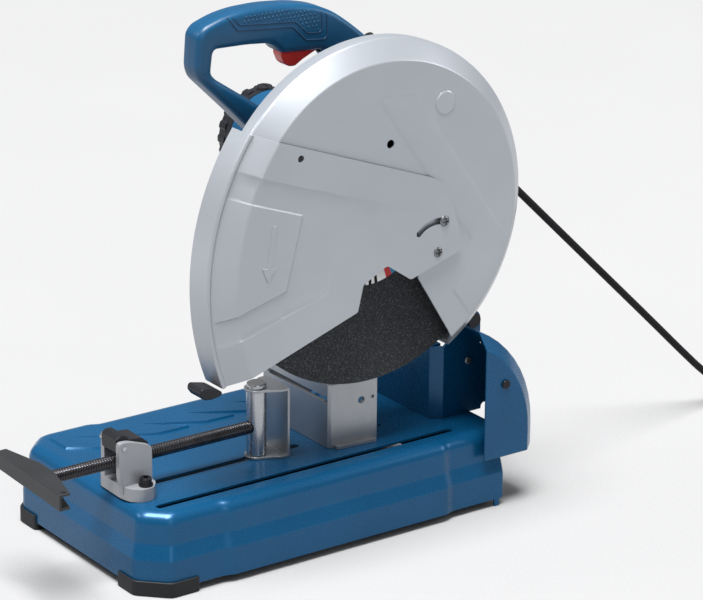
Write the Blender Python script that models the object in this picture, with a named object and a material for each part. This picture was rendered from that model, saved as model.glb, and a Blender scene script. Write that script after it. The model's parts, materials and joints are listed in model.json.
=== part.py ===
"""Abrasive chop saw: a grinding wheel on a swinging arm over a pressed base with a screw vise.

Lengths below are in millimetres. X points to the operator's right, Y to the rear and Z up. The y values are
counted from the middle of the base; SHIFT moves the whole saw so that the origin is the middle of its box.
"""

import math

import bmesh
import bpy
from mathutils import Matrix, Vector

MM = 0.001
GAP = 0.3
SHIFT = (9.45, 21.7, 0.0)

# Wheel and drive
WHEEL_RADIUS = 177.5
WHEEL_THICK = 3.0
WHEEL_X = 96.0
WHEEL_Y, WHEEL_Z = 64.0, 344.0
BORE_RADIUS = 12.7
FLANGE_RADIUS = 38.0
GEAR_MODULE = 2.0
PINION_TEETH, GEAR_TEETH = 8, 47
DRIVE_ANGLE = 110.1
GEAR_X = (50.0, 60.0)
MOTOR_RADIUS = 50.0
MOTOR_END_X = -87.0
MOTOR_SHELL = 46.5
CASE_X = (36.0, 78.0)
COVER_JOINT_X = 66.0
MOTOR_BEARING = 11.0
INNER_BEARING = 13.0
OUTER_BEARING = 16.0

# Arm and tower
PIVOT_Y, PIVOT_Z = 225.0, 191.0
TOWER_HALF = 65.7
PIVOT_RADIUS = 7.0
HUB_RADIUS = 12.5
TOWER_FRONT_Y = 174.5
TOWER_SHEET = 3.0
TOWER_REAR_Y = 253.0
SPRING_WIRE = 1.6
STOP_BOLT = (10.0, 187.0, 0.0)
HOOD_CENTRE = (137.0, 84.0)
HOOD_RADIUS = 129.0
HOOD_SCREW = (0.0, 219.0, 140.0)
TOWER_SCREW = (0.0, 219.6, 146.2)

# Guards
GUARD_Y, GUARD_Z = 67.0, 345.0
GUARD_RADIUS = 187.5
GUARD_FACE_RADIUS = 170.0
GUARD_X = (84.0, 120.0)
GUARD_RIM_X = 100.0
GUARD_SHEET = 2.0
COVER_PIVOT_Y, COVER_PIVOT_Z = 131.5, 302.0
COVER_RADIUS = 275.0
COVER_FACE_RADIUS = 251.0
COVER_X = (81.0, 123.5)
SLOT_RADIUS = 33.2
SLOT_ANGLES = (75.5, 134.5)
SCREW_RADIUS = 3.0

# Base
BASE_RIGHT = 132.0
BASE_LEFT = 151.0
BASE_STEPS = (4.0, 5.4)
BASE_END = 224.0
BASE_TOP = 86.0
SKIRT_BOTTOM = 8.0
SHEET = 2.5
CHAMFER = 27.0
SLOT_WIDTH = 8.5
WHEEL_SLOT = (-194.0, 176.0)
JAW_SLOT = (-163.0, 16.5)
TAB_Y = (211.5, 217.9)
SKIRT_STEPS = [
    (SKIRT_BOTTOM, 0.0),
    (44.0, 0.3),
    (51.0, 3.2),
    (77.0, 4.2),
    (82.5, 6.2),
    (85.4, 10.0),
    (BASE_TOP, 15.0),
]

# Vise
SPINDLE_X, SPINDLE_Z = 40.0, 120.0
SPINDLE_RADIUS = 7.0
CRANK_Y = -309.4
CRANK_TURN = 2.0
CRANK_Z = (113.7, 131.3)
JAW_Y = -36.0
JAW_PIN_RADIUS = 7.7
LEVER_PIN = (0.0, -209.6, 141.0)
LEVER_PIN_RADIUS = 2.5
BRACKET_Y = (-230.0, -160.0)
BRACKET_BOLTS = {"left": (12.5, -190.0, 0.0), "right": (69.8, -190.0, 0.0)}
BRACKET_HEADS = {"left": 5.6, "right": 7.5}
FENCE_Y = 36.0
FENCE_TOP = 157.0
FENCE_PIVOT = (46.0, 60.0)
FENCE_ARC_RADIUS = 82.0
FENCE_ARC_ANGLES = (180.0, 134.0)
FENCE_BOLTS_X = {"left": -36.0, "right": 46.0}
BOLT_HOLE = 4.3

# Handle and cord
HANDLE_X = (15.0, 45.0)
HANDLE_OUTER = [
    *((-5, 402), (-40, 437), (-64, 462), (-105, 502), (-108.5, 513), (-106, 547), (-99, 555)),
    *((-79, 562), (-57, 565.7), (-24, 566.5), (12, 563.5), (37, 558), (56, 550), (75, 537)),
    *((96, 520), (108, 508), (108, 480), (96, 430), (45, 396)),
]
HANDLE_HOLE = [
    *((-87.5, 531), (-90.5, 507), (-84.5, 500), (-22, 458), (2, 452), (30, 456), (62, 464)),
    *((66, 482), (50, 505), (43, 512), (-6, 515), (-14, 524), (-21, 527.5), (-48, 530)),
]
HANDLE_CUT_Y = (-200.0, 200.0)
HANDLE_CUT_Z = (300.0, 700.0)
TRIGGER_HINGE = (30.0, 46.0, 520.0)
LOCK_BUTTON = (0.0, 20.0, 537.0)
SPINDLE_LOCK = (0.0, WHEEL_Y, 306.0)
BUTTON_RADIUS = 5.0
CORD_RADIUS = 4.25
CORD_REST = CORD_RADIUS + GAP
CORD_ROUTE = [
    (30.0, 141.5, 476.5),
    (30.0, 170.0, 448.0),
    (30.0, 220.0, 398.5),
    (30.0, 309.0, 312.5),
    (30.0, 400.0, 225.0),
    (30.0, 500.0, 129.0),
    (30.0, 560.0, 71.0),
    (30.0, 591.0, 42.5),
    (30.0, 620.0, 20.5),
    (30.5, 648.0, 9.5),
    (32.5, 672.0, CORD_REST + 0.5),
    (38.0, 692.0, CORD_REST),
    (46.0, 710.0, CORD_REST),
]
COIL_CENTRE = (10.0, 765.0, 0.0)
TAIL_ROUTE = [
    (-26.5, 819.5, CORD_REST),
    (-35.0, 824.5, CORD_REST + 1.0),
    (-44.0, 831.0, CORD_REST + 4.5),
    (-52.0, 837.0, CORD_REST + 9.0),
    (-60.0, 843.0, CORD_REST + 12.4),
    (-66.0, 847.5, 17.8),
]
COIL_TURN_RADII = (37.5, 46.0, 54.5)
GLAND_RADIUS = 8.5
GLAND_START = Vector((30.0, 107.5, 510.5))
GLAND_AXIS = Vector((0.0, 0.707, -0.707))
PLUG_AXIS = Vector((-0.8, 0.6, 0.0))

DRIVE_CENTRES = GEAR_MODULE * (PINION_TEETH + GEAR_TEETH) / 2
MOTOR_Y = WHEEL_Y + DRIVE_CENTRES * math.cos(math.radians(DRIVE_ANGLE))
MOTOR_Z = WHEEL_Z + DRIVE_CENTRES * math.sin(math.radians(DRIVE_ANGLE))
ORIGIN = (0.0, 0.0, 0.0)
PIVOT = (0.0, PIVOT_Y, PIVOT_Z)
WHEEL = (WHEEL_X, WHEEL_Y, WHEEL_Z)
MOTOR = (0.0, MOTOR_Y, MOTOR_Z)
COVER_PIVOT = (COVER_X[1], COVER_PIVOT_Y, COVER_PIVOT_Z)
GUARD = (WHEEL_X, GUARD_Y, GUARD_Z)
SPINDLE = (SPINDLE_X, 0.0, SPINDLE_Z)
JAW = (SPINDLE_X, JAW_Y, 0.0)

AXES = {"X": (1, 2, 0), "Y": (0, 2, 1), "Z": (0, 1, 2)}


# ---------------------------------------------------------------- materials


def material(name, colour, roughness, metallic=0.0):
    """A Principled material of one colour."""
    made = bpy.data.materials.new(name)
    made.use_nodes = True
    shader = made.node_tree.nodes["Principled BSDF"]
    shader.inputs["Base Color"].default_value = (*colour, 1.0)
    shader.inputs["Roughness"].default_value = roughness
    shader.inputs["Metallic"].default_value = metallic
    made.diffuse_color = (*colour, 1.0)
    return made


def make_materials():
    """Every finish on the saw, by its slot name."""
    return {
        "blue_paint": material("blue_paint", (0.02, 0.17, 0.42), 0.35, 0.3),
        "blue_plastic": material("blue_plastic", (0.01, 0.12, 0.32), 0.45),
        "guard_silver": material("guard_silver", (0.42, 0.46, 0.51), 0.35, 0.6),
        "zinc": material("zinc", (0.5, 0.5, 0.5), 0.35, 0.9),
        "cast_silver": material("cast_silver", (0.45, 0.46, 0.48), 0.45, 0.7),
        "steel": material("steel", (0.55, 0.55, 0.56), 0.3, 1.0),
        "dark_steel": material("dark_steel", (0.06, 0.06, 0.065), 0.45, 0.8),
        "black_steel": material("black_steel", (0.015, 0.015, 0.017), 0.4, 0.6),
        "black_plastic": material("black_plastic", (0.02, 0.02, 0.022), 0.5),
        "rubber": material("rubber", (0.015, 0.015, 0.015), 0.8),
        "red_plastic": material("red_plastic", (0.6, 0.03, 0.02), 0.35),
        "abrasive": material("abrasive", (0.03, 0.03, 0.033), 0.95),
        "copper": material("copper", (0.6, 0.25, 0.12), 0.35, 1.0),
        "brass": material("brass", (0.7, 0.5, 0.2), 0.35, 1.0),
    }


# ---------------------------------------------------------------- building blocks


def clear_scene():
    for old in list(bpy.data.objects):
        bpy.data.objects.remove(old, do_unlink=True)


def joint_empty(name, centre, parent=None, parent_centre=ORIGIN):
    """An empty on a joint's axis, which the moving pieces hang from."""
    empty = bpy.data.objects.new(name, None)
    empty.empty_display_size = 0.03
    bpy.context.scene.collection.objects.link(empty)
    if parent is None:
        empty.location = [(a + b) * MM for a, b in zip(centre, SHIFT)]
    else:
        empty.parent = parent
        empty.location = [(a - b) * MM for a, b in zip(centre, parent_centre)]
    empty["centre"] = centre
    return empty


def add_object(name, bm, finish, parent=None, origin=None, smooth=35.0):
    """Turns a bmesh in saw coordinates into an object whose origin is on its joint's axis."""
    home = tuple(parent["centre"]) if parent else ORIGIN
    origin = origin or home
    bmesh.ops.recalc_face_normals(bm, faces=bm.faces)
    for vert in bm.verts:
        vert.co = (vert.co - Vector(origin)) * MM
    mesh = bpy.data.meshes.new(name)
    bm.to_mesh(mesh)
    bm.free()
    if smooth:
        mesh.shade_smooth()
        mesh.set_sharp_from_angle(angle=math.radians(smooth))
    made = bpy.data.objects.new(name, mesh)
    bpy.context.scene.collection.objects.link(made)
    if finish is not None:
        mesh.materials.append(finish)
    made.parent = parent
    home = home if parent else [-a for a in SHIFT]
    made.location = [(a - b) * MM for a, b in zip(origin, home)]
    return made


def boolean(target, tool, operation="DIFFERENCE"):
    """Cuts, joins or keeps the overlap of the target with a hidden tool object."""
    tool.hide_render = True
    tool.display_type = "WIRE"
    tool.parent = target.parent
    step = target.modifiers.new(tool.name, "BOOLEAN")
    step.operation = operation
    step.object = tool
    return target


def cut(target, bm, operation="DIFFERENCE"):
    """A boolean with a tool made here, in the target's own parent."""
    number = len(target.modifiers)
    tool = add_object(f"{target.name}.tool{number}", bm, None, target.parent, smooth=0)
    return boolean(target, tool, operation)


def soften(target, width, segments=1, angle=40.0):
    """Breaks the sharp edges."""
    step = target.modifiers.new("soft_edges", "BEVEL")
    step.width = width * MM
    step.segments = segments
    step.limit_method = "ANGLE"
    step.angle_limit = math.radians(angle)
    return target


def on_axis(axis, u, v, along):
    """A point from two coordinates across an axis and one along it."""
    a, b, c = AXES[axis]
    point = [0.0, 0.0, 0.0]
    point[a], point[b], point[c] = u, v, along
    return point


def prism(outline, axis, low, high):
    """A straight extrusion of a closed outline along X, Y or Z."""
    bm = bmesh.new()
    ends = [[bm.verts.new(on_axis(axis, u, v, at)) for u, v in outline] for at in (low, high)]
    bm.faces.new(ends[0])
    bm.faces.new(list(reversed(ends[1])))
    for i in range(len(outline)):
        j = (i + 1) % len(outline)
        bm.faces.new((ends[0][i], ends[0][j], ends[1][j], ends[1][i]))
    return bm


def block(x, y, z):
    """A box from three pairs of limits."""
    return prism([(x[0], y[0]), (x[1], y[0]), (x[1], y[1]), (x[0], y[1])], "Z", *z)


def ring_points(axis, centre, along, radius, steps, start=0.0):
    a, b, _ = AXES[axis]
    turn = 2 * math.pi / steps
    return [
        on_axis(
            axis,
            centre[a] + radius * math.cos(start + turn * i),
            centre[b] + radius * math.sin(start + turn * i),
            along,
        )
        for i in range(steps)
    ]


def turned(profile, axis, centre, steps=32, closed=False):
    """A lathe shape from (along, radius) pairs. An open profile begins and ends on the axis."""
    bm = bmesh.new()
    a, b, _ = AXES[axis]
    rings = []
    for along, radius in profile:
        if radius == 0:
            rings.append([bm.verts.new(on_axis(axis, centre[a], centre[b], along))])
        else:
            rings.append([bm.verts.new(p) for p in ring_points(axis, centre, along, radius, steps)])
    pairs = list(zip(rings, rings[1:]))
    if closed:
        pairs.append((rings[-1], rings[0]))
    for one, two in pairs:
        for i in range(steps):
            j = (i + 1) % steps
            corners = [one[i % len(one)], one[j % len(one)], two[j % len(two)], two[i % len(two)]]
            corners = list(dict.fromkeys(corners))
            if len(corners) > 2:
                bm.faces.new(corners)
    return bm


def rod(axis, centre, low, high, radius, steps=20):
    return turned([(low, 0), (low, radius), (high, radius), (high, 0)], axis, centre, steps)


def tube(axis, centre, low, high, inner, outer, steps=28):
    loop = [(low, inner), (low, outer), (high, outer), (high, inner)]
    return turned(loop, axis, centre, steps, closed=True)


def arc(centre, radius, start, end, steps):
    """Points along an arc, angles in degrees."""
    angles = [math.radians(start + (end - start) * i / steps) for i in range(steps + 1)]
    return [(centre[0] + radius * math.cos(t), centre[1] + radius * math.sin(t)) for t in angles]


def rounded(outline, radius, steps=3):
    """The outline with each corner rounded, as far as its sides allow."""
    made = []
    count = len(outline)
    for i, corner in enumerate(outline):
        here = Vector(corner)
        back = Vector(outline[i - 1]) - here
        ahead = Vector(outline[(i + 1) % count]) - here
        reach = min(radius, back.length * 0.45, ahead.length * 0.45)
        start = here + back.normalized() * reach
        end = here + ahead.normalized() * reach
        for k in range(steps + 1):
            t = k / steps
            made.append(tuple(start * (1 - t) ** 2 + here * 2 * t * (1 - t) + end * t * t))
    return made


def ribbon(path, thickness):
    """The outline of a bent sheet: an open path and its copy, moved to the left by the thickness."""
    points = [Vector(p) for p in path]
    moved = []
    for i, point in enumerate(points):
        before = (point - points[i - 1]).normalized() if i else None
        after = (points[i + 1] - point).normalized() if i + 1 < len(points) else None
        one = before or after
        two = after or before
        side = (Vector((-one.y, one.x)) + Vector((-two.y, two.x))).normalized()
        reach = thickness / max(0.3, side.dot(Vector((-one.y, one.x))))
        moved.append(tuple(point + side * reach))
    return [tuple(p) for p in points] + moved[::-1]


def stadium(u, v, half_width, steps=6):
    """A slot with round ends along v, from v[0] to v[1]."""
    low = arc((u, v[0] + half_width), half_width, 180, 360, steps)
    return low + arc((u, v[1] - half_width), half_width, 0, 180, steps)


def arc_slot(centre, radius, angles, half_width, steps):
    """A slot with round ends along an arc, from the first angle to the second, in degrees."""
    turn = 180 if angles[1] > angles[0] else -180
    ends = [arc(centre, radius, angle, angle, 1)[0] for angle in angles]
    outline = arc(centre, radius + half_width, *angles, steps)
    outline += arc(ends[1], half_width, angles[1], angles[1] + turn, 6)[1:-1]
    outline += arc(centre, radius - half_width, *angles[::-1], steps)
    return outline + arc(ends[0], half_width, angles[0] + turn, angles[0] + 2 * turn, 6)[1:-1]


def gear_outline(centre, module, teeth, thickness_share, phase):
    """A spur gear's outline with straight flanks and running clearance."""
    pitch_radius = module * teeth / 2
    radii = (pitch_radius - 1.15 * module, pitch_radius + 0.8 * module)
    pitch = 2 * math.pi / teeth
    outline = []
    for i in range(teeth):
        middle = phase + i * pitch
        for share, radius in ((-0.36, radii[0]), (-0.11, radii[1]), (0.11, radii[1]), (0.36, radii[0])):
            angle = middle + share * thickness_share * pitch
            outline.append((centre[0] + radius * math.cos(angle), centre[1] + radius * math.sin(angle)))
    return outline


# ---------------------------------------------------------------- base


def base_outline(inset, rear=BASE_END):
    """The tray seen from above: cut front corners, stepped long sides and a flat rear end."""
    end = BASE_END - inset
    corner = CHAMFER - inset * 0.4
    right, left = BASE_RIGHT - inset, -BASE_LEFT + inset
    narrow, waist = right - BASE_STEPS[0], left + BASE_STEPS[1]
    return [
        (narrow - corner, -end),
        (narrow, -end + corner),
        (narrow, -134.0),
        (right, -124.0),
        (right, 146.0),
        (narrow, 154.0),
        (narrow, rear - 2.0),
        (narrow - 2.0, rear),
        (waist + 2.0, rear),
        (waist, rear - 2.0),
        (waist, -124.0),
        (left, -134.0),
        (left, -end + corner),
        (left + corner, -end),
    ]


def ring_stack(levels):
    """Joins outlines of equal length, each at its own height, into one closed surface."""
    bm = bmesh.new()
    rings = [[bm.verts.new((x, y, z)) for x, y in outline] for outline, z in levels]
    for one, two in zip(rings, rings[1:]):
        for i in range(len(one)):
            j = (i + 1) % len(one)
            bm.faces.new((one[i], one[j], two[j], two[i]))
    bm.faces.new(rings[0])
    bm.faces.new(rings[-1])
    return bm


def make_base_tray(finish):
    """A pressed steel tray, open below, with slots for the wheel and for the jaw's guide."""
    outside = [(rounded(base_outline(inset), 5.0, 1), z) for z, inset in SKIRT_STEPS]
    inner_rear = BASE_END - SHEET
    inside = []
    for z, inset in SKIRT_STEPS:
        drop = 0.0 if z == SKIRT_BOTTOM else SHEET * (1.0 if z == BASE_TOP else 0.8)
        inside.append((rounded(base_outline(inset + SHEET, inner_rear), 5.0, 1), z - drop))
    tray = add_object("base_tray", ring_stack(inside[::-1] + outside), finish["blue_paint"])
    levels = (BASE_TOP - 12, BASE_TOP + 4)
    cut(tray, prism(stadium(WHEEL_X, WHEEL_SLOT, SLOT_WIDTH / 2), "Z", *levels))
    cut(tray, prism(stadium(SPINDLE_X, JAW_SLOT, SLOT_WIDTH / 2), "Z", *levels))
    for outer, inward in ((BASE_RIGHT - BASE_STEPS[0], -1), (BASE_STEPS[1] - BASE_LEFT, 1)):
        across = sorted((outer + inward * 0.05, outer + inward * SHEET))
        cut(tray, block(across, TAB_Y, (0.0, SKIRT_BOTTOM + 6.0)), "UNION")
    for centre in (*BRACKET_BOLTS.values(), (*FENCE_PIVOT, 0.0)):
        cut(tray, rod("Z", centre, *levels, BOLT_HOLE, 12))
    swing = arc_slot(FENCE_PIVOT, FENCE_ARC_RADIUS, FENCE_ARC_ANGLES, BOLT_HOLE + GAP, 8)
    return cut(tray, prism(swing, "Z", *levels))


def make_foot(name, side, finish):
    """A corner foot that goes under the skirt and stands up around its cut corner."""
    reach = BASE_RIGHT - BASE_STEPS[0] if side > 0 else BASE_LEFT
    lip, length, width = 2.6, 59.0, 14.0
    diagonal = CHAMFER + 8
    outline = [
        (side * (reach - length + 1), -BASE_END - lip),
        (side * (reach - CHAMFER + 1), -BASE_END - lip),
        (side * (reach + lip), -BASE_END + CHAMFER - 1),
        (side * (reach + lip), -BASE_END + length + 1),
        (side * (reach - width), -BASE_END + length + 1),
        (side * (reach - width), -BASE_END + diagonal),
        (side * (reach - diagonal), -BASE_END + width),
        (side * (reach - length + 1), -BASE_END + width),
    ]
    foot = add_object(name, prism(rounded(outline, 4.0, 2), "Z", 0.0, 16.0), finish["rubber"])
    skirt = rounded(base_outline(-GAP), 5.0, 1)
    return cut(foot, prism(skirt, "Z", SKIRT_BOTTOM - GAP, 30.0))


# ---------------------------------------------------------------- tower and hood


def make_tower(finish):
    """A folded sheet column, open at the back, with an ear on each side for the arm's pivot."""
    half = TOWER_HALF
    fold = (8.6, 12.4)
    path = [
        (half, TOWER_REAR_Y),
        (half, TOWER_FRONT_Y + fold[1]),
        (half - fold[0], TOWER_FRONT_Y),
        (-half + fold[0], TOWER_FRONT_Y),
        (-half, TOWER_FRONT_Y + fold[1]),
        (-half, TOWER_REAR_Y),
    ]
    foot_z = BASE_TOP + GAP
    sheet = ribbon(path[::-1], TOWER_SHEET)
    tower = add_object("tower", prism(sheet, "Z", foot_z, 206.0), finish["blue_paint"])
    side_top = [(160.0, 168.0), (188.0, 168.0), (214.0, 196.0)]
    side_top += arc((PIVOT_Y, PIVOT_Z), 10.5, 135, 0, 6)
    side_top += [(TOWER_REAR_Y, 172.0), (260.0, 172.0), (260.0, 220.0), (160.0, 220.0)]
    cut(tower, prism(side_top, "X", -80.0, 80.0))
    cut(tower, rod("X", PIVOT, -80.0, 80.0, PIVOT_RADIUS + GAP, 20))
    cut(tower, prism(stadium(243.0, (70.0, 93.0), 4.5), "X", -80.0, 80.0))
    shelf = block((-44.0, 44.0), (TOWER_FRONT_Y + 1.5, 199.0), (160.0, 163.0))
    cut(tower, shelf, "UNION")
    cut(tower, rod("Z", STOP_BOLT, 150.0, 170.0, 3.3, 12))
    cut(tower, rod("X", TOWER_SCREW, 50.0, 80.0, 2.6, 12))
    return tower


def make_hood(finish):
    """The spark catcher: a quarter-round shell beside the tower, open to the wheel and below."""
    centre = HOOD_CENTRE
    floor_z = 57.0
    front_y = 193.5

    def wall(radius, x):
        rise = math.sqrt(radius**2 - (front_y - centre[0]) ** 2)
        front = [(front_y, floor_z), (front_y, centre[1] + rise)]
        start = math.degrees(math.acos((front_y - centre[0]) / radius))
        curve = arc(centre, radius, start, 0, 9)
        return [(x, y, z) for y, z in front + curve[1:] + [(centre[0] + radius, floor_z)]]

    side_x = TOWER_HALF + 2 * GAP
    outside = [wall(HOOD_RADIUS, side_x), wall(HOOD_RADIUS, 118.0), wall(114.0, 132.2)]
    inside = [wall(126.6, side_x), wall(126.6, 117.0), wall(112.6, 129.7)]
    bm = bmesh.new()
    outer = [[bm.verts.new(p) for p in loop] for loop in outside]
    inner = [[bm.verts.new(p) for p in loop] for loop in inside]
    last = len(outside[0]) - 1
    for loops in (outer, inner):
        for one, two in zip(loops, loops[1:]):
            for i in range(1, last):
                bm.faces.new((one[i], one[i + 1], two[i + 1], two[i]))
        bm.faces.new(loops[2])
    for i in range(1, last):
        bm.faces.new((outer[0][i], outer[0][i + 1], inner[0][i + 1], inner[0][i]))
    for k in (0, 1):
        bm.faces.new((outer[k][1], outer[k + 1][1], inner[k + 1][1], inner[k][1]))
        bm.faces.new((outer[k][last], outer[k + 1][last], inner[k + 1][last], inner[k][last]))
    bm.faces.new((outer[2][0], outer[2][1], inner[2][1], inner[2][0]))
    bm.faces.new((outer[2][0], outer[2][last], inner[2][last], inner[2][0]))
    hood = add_object("spark_hood", bm, finish["blue_paint"])
    cut(hood, rod("X", HOOD_SCREW, 125.0, 140.0, 3.3, 12))
    return hood


# ---------------------------------------------------------------- fasteners


def screw(name, axis, centre, head, shank, head_size, shank_radius, finish, parent=None, hexagon=False):
    """A screw from its head's span and its shank's span along the axis."""
    steps = 6 if hexagon else 16
    bm = turned(
        [(head[0], 0), (head[0], head_size), (head[1], head_size), (head[1], shank_radius)]
        + [(shank, shank_radius), (shank, 0)],
        axis,
        centre,
        steps,
    )
    return add_object(name, bm, finish, parent)


def make_pivot(finish):
    """The arm's shaft with its nut, and the spring around it."""
    start, end, head = -71.0, 69.5, 8.0
    pin = [(start, 0), (start, PIVOT_RADIUS), (66.0, PIVOT_RADIUS), (66.0, head), (end, head), (end, 0)]
    add_object("pivot_shaft", turned(pin, "X", PIVOT, 20), finish["black_steel"])
    add_object("pivot_nut", tube("X", PIVOT, -70.6, -66.0, 8.6, 12.0, 6), finish["steel"])
    wire("return_spring", spring_points(), SPRING_WIRE, finish["dark_steel"], 1)


def make_stop_bolt(finish):
    """The bolt on the tower's shelf that ends the arm's stroke."""
    low, collar, high = 147.0, 172.0, 177.0
    profile = [(low, 0), (low, 3.0), (collar, 3.0), (collar, 6.0), (high, 6.0), (high, 0)]
    add_object("depth_stop_bolt", turned(profile, "Z", STOP_BOLT, 12), finish["steel"])


def make_fence_bolts(finish):
    for side, x in FENCE_BOLTS_X.items():
        centre = (x, FENCE_PIVOT[1], 0.0)
        black = finish["black_steel"]
        screw(f"fence_bolt_{side}", "Z", centre, (96.0, 90.1), 74.0, 7.5, 4.0, black, hexagon=True)


def make_bracket_bolts(finish):
    for side, centre in BRACKET_BOLTS.items():
        head, black = BRACKET_HEADS[side], finish["black_steel"]
        screw(f"bracket_bolt_{side}", "Z", centre, (109.0, 100.3), 78.0, head, SCREW_RADIUS, black)


def make_buttons(finish, parent):
    """The lock-on button beside the grip and the spindle lock behind the gear case."""
    r = BUTTON_RADIUS
    for name, centre, low, high in (
        ("lock_button", LOCK_BUTTON, 9.0, 21.5),
        ("spindle_lock_button", SPINDLE_LOCK, 27.0, 46.0),
    ):
        profile = [(low, 0), (low, r - 0.8), (low + 1.0, r), (high, r), (high, 0)]
        add_object(name, turned(profile, "X", centre, 16), finish["black_plastic"], parent)


# ---------------------------------------------------------------- vise


def make_bracket(finish):
    """A casting with two cheeks beside the screw and a foot on each side."""
    floor_z = BASE_TOP + GAP
    foot = [(15, -211), (57, -212), (70, -209), (79, -200), (79, -186)]
    foot += [(66, -175.5), (18, -175.5), (6, -182), (6, -200)]
    sole = prism(rounded(foot, 4.0, 2), "Z", floor_z, 100.0)
    bracket = add_object("vise_bracket", sole, finish["cast_silver"])
    left = [(-211, 90), (-180, 90), (-180, 136), (-200, 145), (-211, 147)]
    right = [(-212, 90), (-177, 90), (-177, 137.5), (-204, 147), (-215.5, 147.3)]
    right += [(-215.5, 108), (-212, 98)]
    for cheek, low, high in ((left, 18.5, 25.0), (right, 55.0, 61.5)):
        cut(bracket, prism(rounded(cheek, 4.0, 2), "X", low, high), "UNION")
    cut(bracket, rod("Y", SPINDLE, *BRACKET_Y, SPINDLE_RADIUS + 2 * GAP, 20))
    cut(bracket, block((25.01, 54.99), BRACKET_Y, (100.0, 122.0)))
    cut(bracket, rod("X", LEVER_PIN, 10.0, 70.0, LEVER_PIN_RADIUS + GAP, 12))
    for centre in BRACKET_BOLTS.values():
        cut(bracket, rod("Z", centre, 80.0, 110.0, 3.3, 12))
    return bracket


def make_lever(finish, parent):
    """The quick-release lever, hinged over the screw, with a thumb tab in front of its pin."""
    side = [(-214.5, 135), (-214.5, 149), (-210, 152), (-203, 151.5), (-199, 146.5), (-184, 145)]
    side += [(-177, 139), (-176, 130), (-198, 129), (-204, 133.5), (-213, 133.5)]
    body = prism(side, "X", 26.0, 54.0)
    lever = add_object("quick_release_lever", body, finish["black_plastic"], parent)
    cut(lever, rod("X", LEVER_PIN, 20.0, 60.0, LEVER_PIN_RADIUS + GAP, 12))
    cut(lever, rod("Y", SPINDLE, *BRACKET_Y, SPINDLE_RADIUS + 4.6, 20))
    return lever


def make_half_nut(finish, parent):
    """A threaded segment under the lever that sits on the screw."""
    side = [(-195, 124), (-178, 124), (-178, 129.2), (-195, 128.4)]
    nut = add_object("half_nut", prism(side, "X", 34.0, 46.0), finish["brass"], parent)
    return cut(nut, rod("Y", SPINDLE, *BRACKET_Y, SPINDLE_RADIUS + GAP, 20))


def make_spindle(finish, parent):
    """The screw: a tenon inside the T-bar, then the threaded rod up to the jaw's boss."""
    start, shoulder, end = CRANK_Y + 2.8, CRANK_Y + 24.6, JAW_Y - 8.4
    profile = [(start, 0), (start, 3.2), (shoulder, 3.2), (shoulder, SPINDLE_RADIUS)]
    profile += [(end - 1.0, SPINDLE_RADIUS), (end, SPINDLE_RADIUS - 1.0), (end, 0)]
    return add_object("vise_spindle", turned(profile, "Y", SPINDLE, 20), finish["black_steel"], parent)


def tilted(bm, degrees):
    """Turns a shape about the screw's axis."""
    turn = Matrix.Rotation(math.radians(degrees), 3, "Y")
    bmesh.ops.rotate(bm, cent=SPINDLE, matrix=turn, verts=bm.verts)
    return bm


def make_crank(finish, parent):
    """A T-bar: a channel open to the rear, deepest in the middle, on the screw's front end."""
    half, wall = 63.0, 2.5
    low, high = CRANK_Z
    plan = [(-half, 0), (half, 0), (half, 12), (14, 24), (-14, 24), (-half, 12)]
    plan = [(SPINDLE_X + x, CRANK_Y + y) for x, y in plan]
    body = tilted(prism(plan, "Z", low, high), CRANK_TURN)
    bar = add_object("crank_bar", body, finish["dark_steel"], parent)
    across = (SPINDLE_X - 80, SPINDLE_X + 80)
    inside = block(across, (CRANK_Y + wall, CRANK_Y + 40), (low + wall, high - wall))
    return cut(bar, tilted(inside, CRANK_TURN))


def make_jaw_plate(finish, parent):
    """A U-shaped plate whose two flanges turn on the jaw's pin."""
    low, high = BASE_TOP + GAP, 163.0
    flange = [(18, -8.8), (18, -18), (27, -36)] + arc((SPINDLE_X, JAW_Y), 13.0, 200, 340, 8)
    flange += [(53, -36), (62, -18), (62, -8.8)]
    jaw = add_object("jaw_plate", prism(flange, "Z", low, high), finish["zinc"], parent)
    cut(jaw, block((0.0, 80.0), (-60.0, -11.6), (low + 2.7, high - 2.7)))
    cut(jaw, rod("Z", JAW, 80.0, 170.0, JAW_PIN_RADIUS + GAP, 20))
    return jaw


def make_jaw_tube(finish, parent):
    """The boss between the flanges, which the screw pushes."""
    low, high = BASE_TOP + 3.3, 160.0
    ring = tube("Z", JAW, low, high, JAW_PIN_RADIUS + GAP, 10.6)
    boss = add_object("jaw_tube", ring, finish["steel"], parent)
    return cut(boss, rod("Y", SPINDLE, -70.0, JAW_Y, SPINDLE_RADIUS + GAP, 20))


def make_jaw_pin(finish, parent):
    """The pin that holds the jaw together and rides in the base's slot."""
    thin, thick, head = 3.6, JAW_PIN_RADIUS, 10.5
    profile = [(76.5, 0), (76.5, thin), (88.6, thin), (88.6, thick), (163.3, thick), (163.3, head)]
    profile += [(167.0, head), (168.4, head - 1.5), (168.4, 0)]
    return add_object("jaw_pin", turned(profile, "Z", JAW, 20), finish["steel"], parent)


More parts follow.
